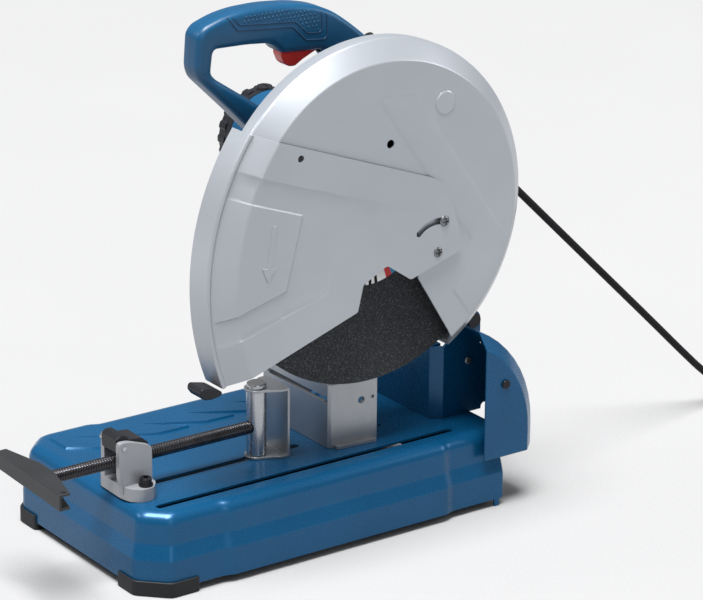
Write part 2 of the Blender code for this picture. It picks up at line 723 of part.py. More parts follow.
def make_fence(finish, parent):
    """The fixed jaw: a folded plate with a slot in its face and an inner foot for two bolts."""
    low, high = BASE_TOP + GAP, FENCE_TOP
    path = [(-52, 94), (-58, 40), (-54, FENCE_Y), (65.5, FENCE_Y), (68.5, 39), (73.5, 94)]
    plate = prism(ribbon(path, 4.0), "Z", low, high)
    fence = add_object("fence", plate, finish["zinc"], parent)
    foot = [(-56, 38), (66, 38), (70.5, 84), (-51, 84)]
    cut(fence, prism(foot, "Z", low, low + 3.5), "UNION")
    lip = [(67.0, 42.0), (75.0, 42.0), (79.0, 90.0), (70.0, 90.0)]
    cut(fence, prism(lip, "Z", low, low + 3.5), "UNION")
    slot = [(v, u) for u, v in stadium(139.5, (-46.0, 60.0), 2.8)]
    cut(fence, prism(slot, "Y", 20.0, 45.0))
    cut(fence, rod("Y", (61.0, 0, 139.5), 20.0, 60.0, 4.6, 12))
    cut(fence, rod("X", (0, 75.0, 134.3), 60.0, 90.0, 4.0, 12))
    cut(fence, rod("X", (0, 88.7, 135.7), 60.0, 90.0, 2.0, 8))
    for x in FENCE_BOLTS_X.values():
        cut(fence, rod("Z", (x, FENCE_PIVOT[1], 0.0), 80.0, 100.0, BOLT_HOLE, 12))
    return fence


# ---------------------------------------------------------------- head


def hull(circles, steps=14):
    """The outline of a belt around circles (u, v, radius), in order, by their outer points."""
    points = []
    for u, v, radius in circles:
        points += arc((u, v), radius, 0, 360 - 360 / steps, steps - 1)
    centre_first = sorted(set((round(x, 4), round(y, 4)) for x, y in points))

    def half(line):
        kept = []
        for p in line:
            while len(kept) > 1 and (kept[-1][0] - kept[-2][0]) * (p[1] - kept[-2][1]) <= (
                kept[-1][1] - kept[-2][1]
            ) * (p[0] - kept[-2][0]):
                kept.pop()
            kept.append(p)
        return kept[:-1]

    return half(centre_first) + half(centre_first[::-1])


def case_outline():
    """The gear case from the side, around the wheel's axis and the motor's."""
    return hull([(WHEEL_Y, WHEEL_Z, 57.0), (MOTOR_Y, MOTOR_Z, 53.0)], 24)


def make_arm(finish, parent):
    """The casting: a gear case, open to the right, and a beam back to the pivot's hub."""
    case = prism(case_outline(), "X", CASE_X[0], COVER_JOINT_X)
    arm = add_object("arm_casting", case, finish["blue_paint"], parent)
    beam = hull([(PIVOT_Y, PIVOT_Z, HUB_RADIUS), (WHEEL_Y + 34, WHEEL_Z - 14, 30.0)], 20)
    cut(arm, prism(beam, "X", 4.0, 44.0), "UNION")
    cut(arm, rod("X", PIVOT, -34.0, 52.0, HUB_RADIUS, 24), "UNION")
    cavity = hull([(WHEEL_Y, WHEEL_Z, 51.5), (MOTOR_Y, MOTOR_Z, 17.0)], 24)
    cut(arm, prism(cavity, "X", 46.5, 70.0))
    cut(arm, rod("X", MOTOR, 30.0, 50.0, MOTOR_BEARING + GAP, 20))
    cut(arm, rod("X", WHEEL, 38.0, 50.0, INNER_BEARING + GAP, 20))
    cut(arm, rod("X", PIVOT, -40.0, 60.0, PIVOT_RADIUS + GAP, 20))
    cut(arm, rod("X", SPINDLE_LOCK, 30.0, 50.0, BUTTON_RADIUS + GAP, 16))
    return arm


def make_gear_cover(finish, parent):
    """The plate that closes the gear case and carries the spindle's outer bearing and the fixed guard."""
    plate = prism(case_outline(), "X", COVER_JOINT_X + GAP, CASE_X[1])
    cover = add_object("gear_cover", plate, finish["cast_silver"], parent)
    cut(cover, rod("X", WHEEL, 60.0, 74.0, OUTER_BEARING + GAP, 24))
    return cut(cover, rod("X", WHEEL, 60.0, 90.0, BORE_RADIUS + GAP, 24))


def make_motor(finish, parent):
    """The housing tube, its vented end cap, the brush cap and the field core."""
    start, seam = MOTOR_END_X, MOTOR_END_X + 30.0
    shell = tube("X", MOTOR, seam + GAP, CASE_X[0] - GAP, MOTOR_SHELL, MOTOR_RADIUS, 32)
    add_object("motor_housing", shell, finish["blue_plastic"], parent)
    bearing = MOTOR_BEARING + GAP
    end = [(start, bearing), (start, 40.0), (start + 6, MOTOR_RADIUS), (seam, MOTOR_RADIUS)]
    end += [(seam, MOTOR_SHELL), (start + 8, MOTOR_SHELL), (start + 3.5, 38.0), (start + 3.5, 14.5)]
    end += [(start + 12, 14.5), (start + 12, bearing)]
    disc = turned(end, "X", MOTOR, 32, closed=True)
    cap = add_object("motor_end_cap", disc, finish["black_plastic"], parent)
    for k in range(6):
        angle = math.radians(60 * k + 30)
        u, v = MOTOR_Y + 49 * math.cos(angle), MOTOR_Z + 49 * math.sin(angle)
        vent = [(u - 3, v - 3), (u + 3, v - 3), (u + 3, v + 3), (u - 3, v + 3)]
        cut(cap, prism(vent, "X", start + 9, start + 20))
    centre = (start + 22, MOTOR_Y, 0.0)
    z = MOTOR_Z + MOTOR_RADIUS
    neck, head = 6.0, 8.5
    profile = [(z - 8, 0), (z - 8, neck), (z + 0.4, neck), (z + 0.4, head), (z + 3.5, head), (z + 3.5, 0)]
    add_object("brush_cap", turned(profile, "Z", centre, 16), finish["black_plastic"], parent)
    cut(cap, rod("Z", centre, z - 12, z + 5, neck + GAP, 16))
    field = tube("X", MOTOR, -32.0, 10.0, 31.0, 46.2, 32)
    add_object("field_core", field, finish["dark_steel"], parent)


def make_armature(finish, parent):
    """Rotor, commutator and shaft as one turned piece, with its two bearings, fan and pinion."""
    start = MOTOR_END_X + 4.0
    profile = [(start, 0), (start, 4.0), (-62.0, 4.0), (-62.0, 14.0), (-40.0, 14.0), (-40.0, 7.0)]
    profile += [(-32.0, 7.0), (-32.0, 29.0), (10.0, 29.0), (10.0, 5.0), (49.7, 5.0), (49.7, 3.4)]
    profile += [(61.0, 3.4), (61.0, 0)]
    add_object("armature", turned(profile, "X", MOTOR, 20), finish["copper"], parent)
    fan = [(14.0, 5.3), (14.0, 42.0), (17.0, 42.0), (17.0, 14.0), (27.0, 14.0), (27.0, 5.3)]
    disc = turned(fan, "X", MOTOR, 28, closed=True)
    fan_disc = add_object("motor_fan", disc, finish["black_plastic"], parent)
    blades = 8
    for k in range(blades):
        angle = 2 * math.pi * k / blades
        along = Vector((math.cos(angle), math.sin(angle)))
        across = Vector((-along.y, along.x)) * 1.2
        middle = Vector((MOTOR_Y, MOTOR_Z))
        corners = [middle + along * 13 - across, middle + along * 40 - across]
        corners += [middle + along * 40 + across, middle + along * 13 + across]
        cut(fan_disc, prism([tuple(c) for c in corners], "X", 16.0, 26.0), "UNION")
    phase = math.radians(DRIVE_ANGLE) + math.pi
    outline = gear_outline((MOTOR_Y, MOTOR_Z), GEAR_MODULE, PINION_TEETH, 0.84, phase)
    pinion = add_object("pinion", prism(outline, "X", *GEAR_X), finish["steel"], parent)
    cut(pinion, rod("X", MOTOR, 40.0, 70.0, 3.4 + GAP, 12))


def make_bearings(finish, parent):
    """Two bearings for the armature and two for the wheel's spindle."""
    for name, axis, low, high, bore, radius in (
        ("armature_bearing_rear", MOTOR, MOTOR_END_X + 5.0, MOTOR_END_X + 12.0, 4.3, MOTOR_BEARING),
        ("armature_bearing_front", MOTOR, 37.5, 45.5, 5.3, MOTOR_BEARING),
        ("spindle_bearing_inner", WHEEL, 38.6, 45.6, 6.3, INNER_BEARING),
        ("spindle_bearing_outer", WHEEL, 66.6, 73.6, 10.3, OUTER_BEARING),
    ):
        add_object(name, tube("X", axis, low, high, bore, radius, 20), finish["steel"], parent)


def make_spindle_train(finish, parent):
    """Driven gear, output spindle, flanges, wheel and bolt."""
    steps = 20
    phase = math.radians(DRIVE_ANGLE) + math.pi / GEAR_TEETH
    outline = gear_outline((WHEEL_Y, WHEEL_Z), GEAR_MODULE, GEAR_TEETH, 0.84, phase)
    gear = add_object("driven_gear", prism(outline, "X", *GEAR_X), finish["steel"], parent)
    cut(gear, rod("X", WHEEL, 40.0, 70.0, 9.0 + GAP, steps))
    shaft = [(38.6, 0), (38.6, 6.0), (46.4, 6.0), (46.4, 9.0), (62.0, 9.0), (62.0, 10.0), (74.4, 10.0)]
    shaft += [(74.4, 12.4), (100.0, 12.4), (100.0, 5.3), (76.0, 5.3), (76.0, 0)]
    add_object("output_spindle", turned(shaft, "X", WHEEL, steps), finish["steel"], parent)
    inner = [(82.6, BORE_RADIUS), (82.6, 24.0), (88.0, 24.0), (91.0, FLANGE_RADIUS)]
    inner += [(94.2, FLANGE_RADIUS), (94.2, BORE_RADIUS)]
    add_object("inner_flange", turned(inner, "X", WHEEL, steps, closed=True), finish["steel"], parent)
    outer = [(97.8, BORE_RADIUS), (97.8, FLANGE_RADIUS), (101.0, FLANGE_RADIUS), (103.6, 24.0)]
    outer.append((103.6, BORE_RADIUS))
    add_object("outer_flange", turned(outer, "X", WHEEL, steps, closed=True), finish["steel"], parent)
    half = WHEEL_THICK / 2
    wheel = tube("X", WHEEL, WHEEL_X - half, WHEEL_X + half, BORE_RADIUS, WHEEL_RADIUS, 72)
    add_object("abrasive_wheel", wheel, finish["abrasive"], parent)
    bolt = [(78.0, 0), (78.0, 5.0), (103.9, 5.0), (103.9, 16.0), (105.9, 16.0), (105.9, 9.8)]
    bolt += [(112.5, 9.8), (112.5, 0)]
    add_object("wheel_bolt", turned(bolt, "X", WHEEL, 12), finish["dark_steel"], parent)


def make_fixed_guard(finish, parent):
    """A drum around the wheel's upper half, open below."""
    x0, x1 = GUARD_X
    t = GUARD_SHEET
    rim_x = GUARD_RIM_X
    profile = [(x0, 30.0), (x0, GUARD_RADIUS), (rim_x, GUARD_RADIUS), (x1, GUARD_FACE_RADIUS), (x1, 0)]
    profile += [(x1 - t, 0), (x1 - t, GUARD_FACE_RADIUS - 1), (rim_x - 0.8, GUARD_RADIUS - t)]
    profile += [(x0 + t, GUARD_RADIUS - t), (x0 + t, 30.0)]
    drum = turned(profile, "X", GUARD, 64, closed=True)
    guard = add_object("fixed_guard", drum, finish["guard_silver"], parent)
    rear_edge = [(115, 274), (136, 239.5), (160, 200), (172, 180), (172, 100), (-200, 100), (-200, 452)]
    below_face = [(-140, 452), (48, 398), (95, 384), (110, 330)] + rear_edge
    cut(guard, prism(below_face, "X", x0 + 4.0, x1 + 6.0))
    below_back = [(-140, 452), (14, 330), (30, 306), (64, 298)] + rear_edge
    cut(guard, prism(below_back, "X", x0 - 6.0, x0 + 4.0))
    cut(guard, rod("X", COVER_PIVOT, 110.0, 130.0, SCREW_RADIUS + GAP, 12))
    cut(guard, rod("X", limit_screw_centre(), 110.0, 130.0, SCREW_RADIUS + GAP, 12))
    return guard


def limit_screw_centre():
    """The screw that the front cover's slot slides on."""
    angle = math.radians(SLOT_ANGLES[0])
    y, z = COVER_PIVOT_Y + SLOT_RADIUS * math.cos(angle), COVER_PIVOT_Z + SLOT_RADIUS * math.sin(angle)
    return (0.0, y, z)


def make_front_cover(finish, parent):
    """The swinging guard: a plate with a bevel and a rim that follow a circle about its own pivot."""
    x0, x1 = COVER_X
    t = GUARD_SHEET
    outer = [(x1, 0), (x1, COVER_FACE_RADIUS), (112.0, COVER_RADIUS), (x0, COVER_RADIUS)]
    inner = [(x0, COVER_RADIUS - t), (111.0, COVER_RADIUS - t)]
    inner += [(x1 - t, COVER_FACE_RADIUS - 0.8), (x1 - t, 0)]
    plate = turned(outer + inner, "X", COVER_PIVOT, 72)
    cover = add_object("front_guard", plate, finish["guard_silver"], parent)
    face = [(-118, 478), (-40, 448), (122, 386), (136, 380), (142, 376), (158, 340), (165, 304)]
    face += [(100.5, 280), (67, 298.5), (38, 285), (31, 257), (-150, 195), (-190, 181), (-190, 505)]
    cut(cover, prism(face, "X", x0 - 6.0, x1 + 6.0), "INTERSECT")
    middle = (COVER_PIVOT_Y, COVER_PIVOT_Z)
    slot = arc_slot(middle, SLOT_RADIUS, SLOT_ANGLES, 3.6, 10)
    cut(cover, prism(slot, "X", x1 - 10, x1 + 10))
    cut(cover, rod("X", COVER_PIVOT, x1 - 10, x1 + 10, SCREW_RADIUS + GAP, 16))
    return cover


# ---------------------------------------------------------------- handle


def handle_solid(name, finish, parent, x_limits):
    """One half of the D-shaped handle."""
    whole = add_object(name, prism(HANDLE_OUTER, "X", *HANDLE_X), finish["blue_plastic"], parent)
    cut(whole, prism(rounded(HANDLE_HOLE, 5.0, 2), "X", 0.0, 60.0))
    soften(whole, 5.0, 1, 50.0)
    cut(whole, rod("X", MOTOR, 0.0, 60.0, MOTOR_RADIUS + 3.6, 48))
    cut(whole, block((21.0, 39.0), (-5.0, 62.0), (505.0, 545.0)))
    socket = bmesh.new()
    ends = [GLAND_START - GLAND_AXIS * GAP, GLAND_START + GLAND_AXIS * 30]
    skin(socket, [ring_across(socket, end, GLAND_AXIS, GLAND_RADIUS + GAP, 14) for end in ends])
    cut(whole, socket)
    cut(whole, block(x_limits, HANDLE_CUT_Y, HANDLE_CUT_Z), "INTERSECT")
    return whole


def make_handle(finish, parent):
    """Both halves of the handle and the switch that they hold."""
    middle = sum(HANDLE_X) / 2
    left = handle_solid("handle_left", finish, parent, (0.0, middle - GAP / 2))
    handle_solid("handle_right", finish, parent, (middle + GAP / 2, 60.0))
    cut(left, rod("X", LOCK_BUTTON, 0.0, 25.0, BUTTON_RADIUS + GAP, 16))
    switch = block((26.0, 38.0), (4.0, 58.0), (532.0, 544.6))
    switch_body = add_object("switch_body", switch, finish["black_plastic"], parent)
    soften(switch_body, 0.8)


def make_trigger(finish, parent):
    """A finger lever, deep at its front, hinged at its rear inside the grip."""
    side = [(-4, 524), (-4, 512), (0, 503), (6, 498.5), (14, 498), (22, 503), (40, 511), (50, 514)]
    side += [(50, 521), (44, 524)]
    body = prism(rounded(side, 2.0, 2), "X", 22.0, 38.0)
    trigger = add_object("trigger", body, finish["red_plastic"], parent)
    soften(trigger, 1.5, 2)
    return trigger


def make_lug(finish, parent):
    """The finger grip under the front guard's lower end."""
    side = [(-149, 208), (-151, 202), (-146, 195), (-136, 194), (-124.6, 196), (-124.6, 200), (-131, 204)]
    body = prism(rounded(side, 2.0, 2), "X", 86.0, 112.0)
    lug = add_object("lift_lug", body, finish["black_plastic"], parent)
    soften(lug, 1.2)
    return lug


# ---------------------------------------------------------------- spring and cord


def wire(name, points, radius, finish, resolution, parent=None):
    """A round wire along points, as a curve with closed ends."""
    home = tuple(parent["centre"]) if parent else [-a for a in SHIFT]
    data = bpy.data.curves.new(name, "CURVE")
    data.dimensions = "3D"
    data.bevel_depth = radius * MM
    data.bevel_resolution = resolution
    data.use_fill_caps = True
    spline = data.splines.new("POLY")
    spline.points.add(len(points) - 1)
    for slot, point in zip(spline.points, points):
        slot.co = (*[(a - b) * MM for a, b in zip(point, home)], 1.0)
    made = bpy.data.objects.new(name, data)
    bpy.context.scene.collection.objects.link(made)
    data.materials.append(finish)
    made.parent = parent
    return made


def spring_points():
    """A helix around the arm's pivot with a leg at each end."""
    turns, per_turn, radius = 3.5, 9, 13.0
    count = int(turns * per_turn)
    points = []
    for i in range(count + 1):
        angle = math.radians(20) + 2 * math.pi * i / per_turn
        x = -58.5 + 19.5 * i / count
        points.append((x, PIVOT_Y + radius * math.cos(angle), PIVOT_Z + radius * math.sin(angle)))
    return points


def smooth_path(points, spacing):
    """Points at an even spacing on a Catmull-Rom curve through the given ones."""
    fine = []
    padded = [points[0], *points, points[-1]]
    for a, b, c, d in zip(padded, padded[1:], padded[2:], padded[3:]):
        a, b, c, d = (Vector(p) for p in (a, b, c, d))
        for k in range(24):
            t = k / 24
            bend = (2 * a - 5 * b + 4 * c - d) * t**2 + (3 * b - a - 3 * c + d) * t**3
            fine.append(0.5 * (2 * b + (c - a) * t + bend))
    fine.append(Vector(points[-1]))
    made, walked = [fine[0]], 0.0
    for before, after in zip(fine, fine[1:]):
        walked += (after - before).length
        if walked >= spacing:
            made.append(after)
            walked = 0.0
    made.append(fine[-1])
    return [tuple(p) for p in made]


def make_cord(finish, parent):
    """The lead: a gland on the handle, a run to the floor, a tied coil and a plug."""
    gland = bmesh.new()
    rings = []
    sizes = ((0.0, GLAND_RADIUS), (8.0, GLAND_RADIUS), (12.0, 7.4), (47.5, CORD_RADIUS + 0.9))
    for reach, radius in sizes:
        rings.append(ring_across(gland, GLAND_START + GLAND_AXIS * reach, GLAND_AXIS, radius, 14))
    skin(gland, rings)
    add_object("strain_relief", gland, finish["rubber"], parent)
    wire("cord", smooth_path(CORD_ROUTE, 13.0), CORD_RADIUS, finish["rubber"], 2)
    inner = COIL_TURN_RADII[0] - CORD_RADIUS
    outer = COIL_TURN_RADII[-1] + CORD_RADIUS
    height = 4 * CORD_RADIUS + 2 * GAP
    loop = [(GAP, inner + 2), (GAP, outer - 2), (3, outer), (height - 3, outer), (height, outer - 2)]
    loop += [(height, inner + 2), (height - 3, inner), (3, inner)]
    add_object("cord_coil", turned(loop, "Z", COIL_CENTRE, 28, closed=True), finish["rubber"])
    wire("cord_tail", smooth_path(TAIL_ROUTE, 9.0), CORD_RADIUS, finish["rubber"], 2)
    plug = bmesh.new()
    first = Vector(TAIL_ROUTE[-1]) + PLUG_AXIS * 3.0
    rings = []
    for reach, radius in ((0, 5.5), (14, 7.0), (18, 13.0), (26, 17.5), (44, 17.5), (44, 2.4), (60, 2.4)):
        rings.append(ring_across(plug, first + PLUG_AXIS * reach, PLUG_AXIS, radius, 16))
    skin(plug, rings)
    add_object("plug", plug, finish["rubber"])


def ring_across(bm, centre, along, radius, steps):
    """A ring of vertices square to a direction."""
    level = Vector((0.0, 0.0, 1.0)) if abs(along.z) < 0.9 else Vector((1.0, 0.0, 0.0))
    side = along.cross(level).normalized()
    up = side.cross(along).normalized()
    turn = 2 * math.pi / steps
    return [
        bm.verts.new(centre + side * radius * math.cos(turn * i) + up * radius * math.sin(turn * i))
        for i in range(steps)
    ]


def skin(bm, rings):
    """Faces between rings of equal length, with both ends closed."""
    for one, two in zip(rings, rings[1:]):
        for i in range(len(one)):
            j = (i + 1) % len(one)
            bm.faces.new((one[i], one[j], two[j], two[i]))
    bm.faces.new(rings[0])
    bm.faces.new(rings[-1])


def main():
    clear_scene()
    finish = make_materials()
    head = joint_empty("head_pivot", PIVOT)
    wheel = joint_empty("wheel_axis", WHEEL, head, PIVOT)
    motor = joint_empty("motor_axis", MOTOR, head, PIVOT)
    cover = joint_empty("cover_pivot", COVER_PIVOT, head, PIVOT)
    trigger_hinge = joint_empty("trigger_hinge", TRIGGER_HINGE, head, PIVOT)
    jaw_centre = (SPINDLE_X, JAW_Y, SPINDLE_Z)
    jaw_slide = joint_empty("jaw_slide", jaw_centre)
    spindle_axis = joint_empty("spindle_axis", (SPINDLE_X, CRANK_Y, SPINDLE_Z), jaw_slide, jaw_centre)
    jaw_swivel = joint_empty("jaw_swivel", jaw_centre, jaw_slide, jaw_centre)
    lever_hinge = joint_empty("lever_hinge", (SPINDLE_X, *LEVER_PIN[1:]))
    fence_hinge = joint_empty("fence_hinge", (*FENCE_PIVOT, BASE_TOP))

    make_base_tray(finish)
    make_foot("foot_front_left", -1, finish)
    make_foot("foot_front_right", 1, finish)
    make_tower(finish)
    make_hood(finish)
    screw("hood_screw", "X", HOOD_SCREW, (134.7, 132.5), 126.0, 5.0, SCREW_RADIUS, finish["black_steel"])
    make_pivot(finish)
    make_stop_bolt(finish)

    make_fence(finish, fence_hinge)
    make_fence_bolts(finish)

    make_bracket(finish)
    make_bracket_bolts(finish)
    add_object("lever_pin", rod("X", LEVER_PIN, 18.0, 62.0, LEVER_PIN_RADIUS, 12), finish["steel"])
    make_lever(finish, lever_hinge)
    make_half_nut(finish, lever_hinge)

    make_spindle(finish, spindle_axis)
    make_crank(finish, spindle_axis)
    make_jaw_plate(finish, jaw_swivel)
    make_jaw_tube(finish, jaw_slide)
    make_jaw_pin(finish, jaw_slide)
    add_object("guide_nut", tube("Z", JAW, 77.5, 83.0, 3.9, 11.0, 20), finish["steel"], jaw_slide)

    make_arm(finish, head)
    make_gear_cover(finish, head)
    make_motor(finish, head)
    make_armature(finish, motor)
    make_bearings(finish, head)
    make_spindle_train(finish, wheel)
    make_fixed_guard(finish, head)
    for name, centre in (("limit_screw", limit_screw_centre()), ("cover_pivot_screw", COVER_PIVOT)):
        screw(name, "X", centre, (127.4, 123.9), 112.0, 6.0, SCREW_RADIUS, finish["steel"], head)
    make_front_cover(finish, cover)
    make_lug(finish, cover)
    make_handle(finish, head)
    make_trigger(finish, trigger_hinge)
    make_buttons(finish, head)
    make_cord(finish, head)


main()
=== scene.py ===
"""The visible surfaces of an abrasive chop saw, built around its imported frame.

Shapes are drawn in saw millimetres: x to the operator's right, y to the rear from the middle of the base,
z up from the floor. place() turns them into the frame's metres.
"""

import json
import math

import bmesh
import bpy
from mathutils import Matrix, Vector
from mathutils.bvhtree import BVHTree


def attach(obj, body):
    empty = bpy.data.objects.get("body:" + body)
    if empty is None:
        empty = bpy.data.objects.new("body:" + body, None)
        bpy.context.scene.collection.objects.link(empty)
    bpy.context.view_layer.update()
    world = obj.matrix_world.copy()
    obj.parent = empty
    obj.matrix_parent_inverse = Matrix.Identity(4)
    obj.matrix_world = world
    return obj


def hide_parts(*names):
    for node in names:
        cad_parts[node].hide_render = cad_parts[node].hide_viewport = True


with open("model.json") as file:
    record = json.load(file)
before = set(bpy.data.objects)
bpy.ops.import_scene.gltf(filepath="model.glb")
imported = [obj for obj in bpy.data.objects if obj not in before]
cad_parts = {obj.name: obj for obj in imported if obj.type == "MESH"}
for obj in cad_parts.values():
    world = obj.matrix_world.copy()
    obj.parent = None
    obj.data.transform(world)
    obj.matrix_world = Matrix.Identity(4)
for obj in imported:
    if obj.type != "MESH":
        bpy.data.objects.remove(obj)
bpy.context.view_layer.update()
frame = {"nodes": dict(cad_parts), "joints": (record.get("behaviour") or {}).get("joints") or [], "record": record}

JOINTS = {joint["name"]: joint for joint in frame["joints"]}
SLOTS = {part["node"]: part["material_slot"] for part in frame["record"]["subparts"]}
BODIES = {n: body for body, names in frame["record"]["behaviour"]["bodies"].items() for n in names}
WHEEL = Vector((96.0, 64.0, 344.0))
SHIFT = Vector(JOINTS["wheel_spin"]["pos_m"]) * 1000 - WHEEL

# Main places and sizes, in millimetres
GUARD = Vector((96.0, 67.0, 345.0))
COVER_PIVOT = Vector((123.5, 131.5, 302.0))
LIMIT_SCREW, COVER_RIVET = (123.5, 139.8, 334.1), (123.5, -39.8, 431.8)
TOWER_SCREW, LEVER_PIN = (65.7, 219.6, 146.2), (61.3, -209.6, 141)
MOTOR = Vector((0.0, 45.1, 395.65))
BASE_RIGHT, BASE_LEFT, BASE_END, BASE_TOP = 132.0, 151.0, 224.0, 86.0
FENCE_PIVOT, FENCE_REAR = (46.0, 60.0), (42.0, 119.0)
BRACKET_BOLTS = {"left": (12.5, -190.0), "right": (69.8, -190.0)}
SPINDLE_X, SPINDLE_Z = 40.0, 120.0
CRANK_Y, JAW_Y = -309.4, -36.0
CORD_RADIUS = 4.25
# Each axis's two cross directions, and itself
AXES = {"X": (1, 2, 0), "Y": (0, 2, 1), "Z": (0, 1, 2)}


def place(point):
    """Saw millimetres to the frame's metres."""
    return (Vector(point) + SHIFT) / 1000


# ------------------------ camera


def add_camera():
    """A long lens that looks down at the saw from its right front; focal is in units of width."""
    azimuth, elevation, roll = math.radians(54.42), math.radians(19.74), math.radians(0.5)
    target, distance, focal, width = Vector((-6.06, 116.9, 213.81)), 3455.53, 3245.85, 703
    level = math.cos(elevation)
    back = Vector((math.sin(azimuth) * level, -math.cos(azimuth) * level, math.sin(elevation)))
    right = Vector((math.cos(azimuth), math.sin(azimuth), 0.0))
    up = back.cross(right)
    across = right * math.cos(roll) + up * math.sin(roll)
    upright = up * math.cos(roll) - right * math.sin(roll)
    data = bpy.data.cameras.new("camera")
    data.sensor_width = 36.0
    data.lens = data.sensor_width * focal / width
    data.clip_end = 100.0
    camera = bpy.data.objects.new("camera", data)
    bpy.context.scene.collection.objects.link(camera)
    matrix = Matrix((across, upright, back)).transposed().to_4x4()
    matrix.translation = place(target + back * distance)
    camera.matrix_world = matrix
    bpy.context.scene.camera = camera


# ------------------------ materials


def start_material(name, colour, roughness, metallic):
    """A material with its shader's plain values set."""
    made = bpy.data.materials.new(name)
    made.use_nodes = True
    tree = made.node_tree
    shader = tree.nodes["Principled BSDF"]
    shader.inputs["Base Color"].default_value = (*colour, 1.0)
    shader.inputs["Roughness"].default_value = roughness
    shader.inputs["Metallic"].default_value = metallic
    made.diffuse_color = (*colour, 1.0)
    return made, tree, shader


def noise_node(tree, scale, detail, stretch=(1.0, 1.0, 1.0)):
    """Noise over the object's own coordinates, which are metres in the frame."""
    coordinates = tree.nodes.new("ShaderNodeTexCoord")
    mapping = tree.nodes.new("ShaderNodeMapping")
    mapping.inputs["Scale"].default_value = stretch
    made = tree.nodes.new("ShaderNodeTexNoise")
    made.inputs["Scale"].default_value = scale
    made.inputs["Detail"].default_value = detail
    tree.links.new(coordinates.outputs["Object"], mapping.inputs["Vector"])
    tree.links.new(mapping.outputs["Vector"], made.inputs["Vector"])
    return made.outputs["Fac"]


def ramp_node(tree, fac, stops):
    """Colours along a value: (position, colour) pairs."""
    made = tree.nodes.new("ShaderNodeValToRGB")
    ramp = made.color_ramp
    while len(ramp.elements) < len(stops):
        ramp.elements.new(0.5)
    for element, (position, colour) in zip(ramp.elements, stops):
        element.position = position
        element.color = (*colour, 1.0)
    tree.links.new(fac, made.inputs["Fac"])
    return made.outputs["Color"]


def range_node(tree, fac, low, high):
    """A value from low to high across the middle of a noise's range."""
    made = tree.nodes.new("ShaderNodeMapRange")
    made.inputs["From Min"].default_value = 0.3
    made.inputs["From Max"].default_value = 0.7
    made.inputs["To Min"].default_value = low
    made.inputs["To Max"].default_value = high
    tree.links.new(fac, made.inputs["Value"])
    return made.outputs["Result"]


def bump_node(tree, shader, fac, strength, distance):
    made = tree.nodes.new("ShaderNodeBump")
    made.inputs["Strength"].default_value = strength
    made.inputs["Distance"].default_value = distance
    tree.links.new(fac, made.inputs["Height"])
    tree.links.new(made.outputs["Normal"], shader.inputs["Normal"])


def scaled(colour, factor):
    return tuple(min(1.0, c * factor) for c in colour)


def finish(name, colour, roughness, metallic, spread, broad, grain, bump):
    """A surface with slow colour variation, which is broad, and a fine grain in gloss and height."""
    made, tree, shader = start_material(name, colour, roughness, metallic)
    slow = noise_node(tree, broad, 4.0)
    fine = noise_node(tree, grain, 3.0, STREAKS.get(name, (1.0, 1.0, 1.0)))
    stops = ((0.3, scaled(colour, 1 - spread)), (0.5, colour), (0.7, scaled(colour, 1 + spread)))
    tree.links.new(ramp_node(tree, slow, stops), shader.inputs["Base Color"])
    rough = range_node(tree, fine, max(0.02, roughness * 0.82), min(1.0, roughness * 1.2))
    tree.links.new(rough, shader.inputs["Roughness"])
    bump_node(tree, shader, fine, bump, GRAIN_DEPTH)
    shader.inputs["Specular IOR Level"].default_value = SPECULAR.get(name, 0.5)
    if name in COATS:
        shader.inputs["Coat Weight"].default_value = COATS[name]
        shader.inputs["Coat Roughness"].default_value = 0.12
    return made


def abrasive_finish():
    """Bonded grit: near black with pale and dark specks and a coarse tooth."""
    made, tree, shader = start_material("abrasive", (0.03, 0.033, 0.038), 0.85, 0.0)
    cells = tree.nodes.new("ShaderNodeTexVoronoi")
    cells.inputs["Scale"].default_value = 760.0
    coordinates = tree.nodes.new("ShaderNodeTexCoord")
    tree.links.new(coordinates.outputs["Object"], cells.inputs["Vector"])
    split = tree.nodes.new("ShaderNodeSeparateColor")
    tree.links.new(cells.outputs["Color"], split.inputs["Color"])
    stops = (
        (0.0, (0.006, 0.007, 0.009)),
        (0.5, (0.014, 0.017, 0.021)),
        (0.85, (0.028, 0.032, 0.038)),
        (1.0, (0.070, 0.076, 0.084)),
    )
    tree.links.new(ramp_node(tree, split.outputs["Red"], stops), shader.inputs["Base Color"])
    bump_node(tree, shader, cells.outputs["Distance"], 0.55, 0.0005)
    return made


def make_materials():
    """Every finish, by its slot's name or a name of its own."""
    made = {name: finish(name, *look) for name, look in LOOKS.items()}
    made["abrasive"] = abrasive_finish()
    return made


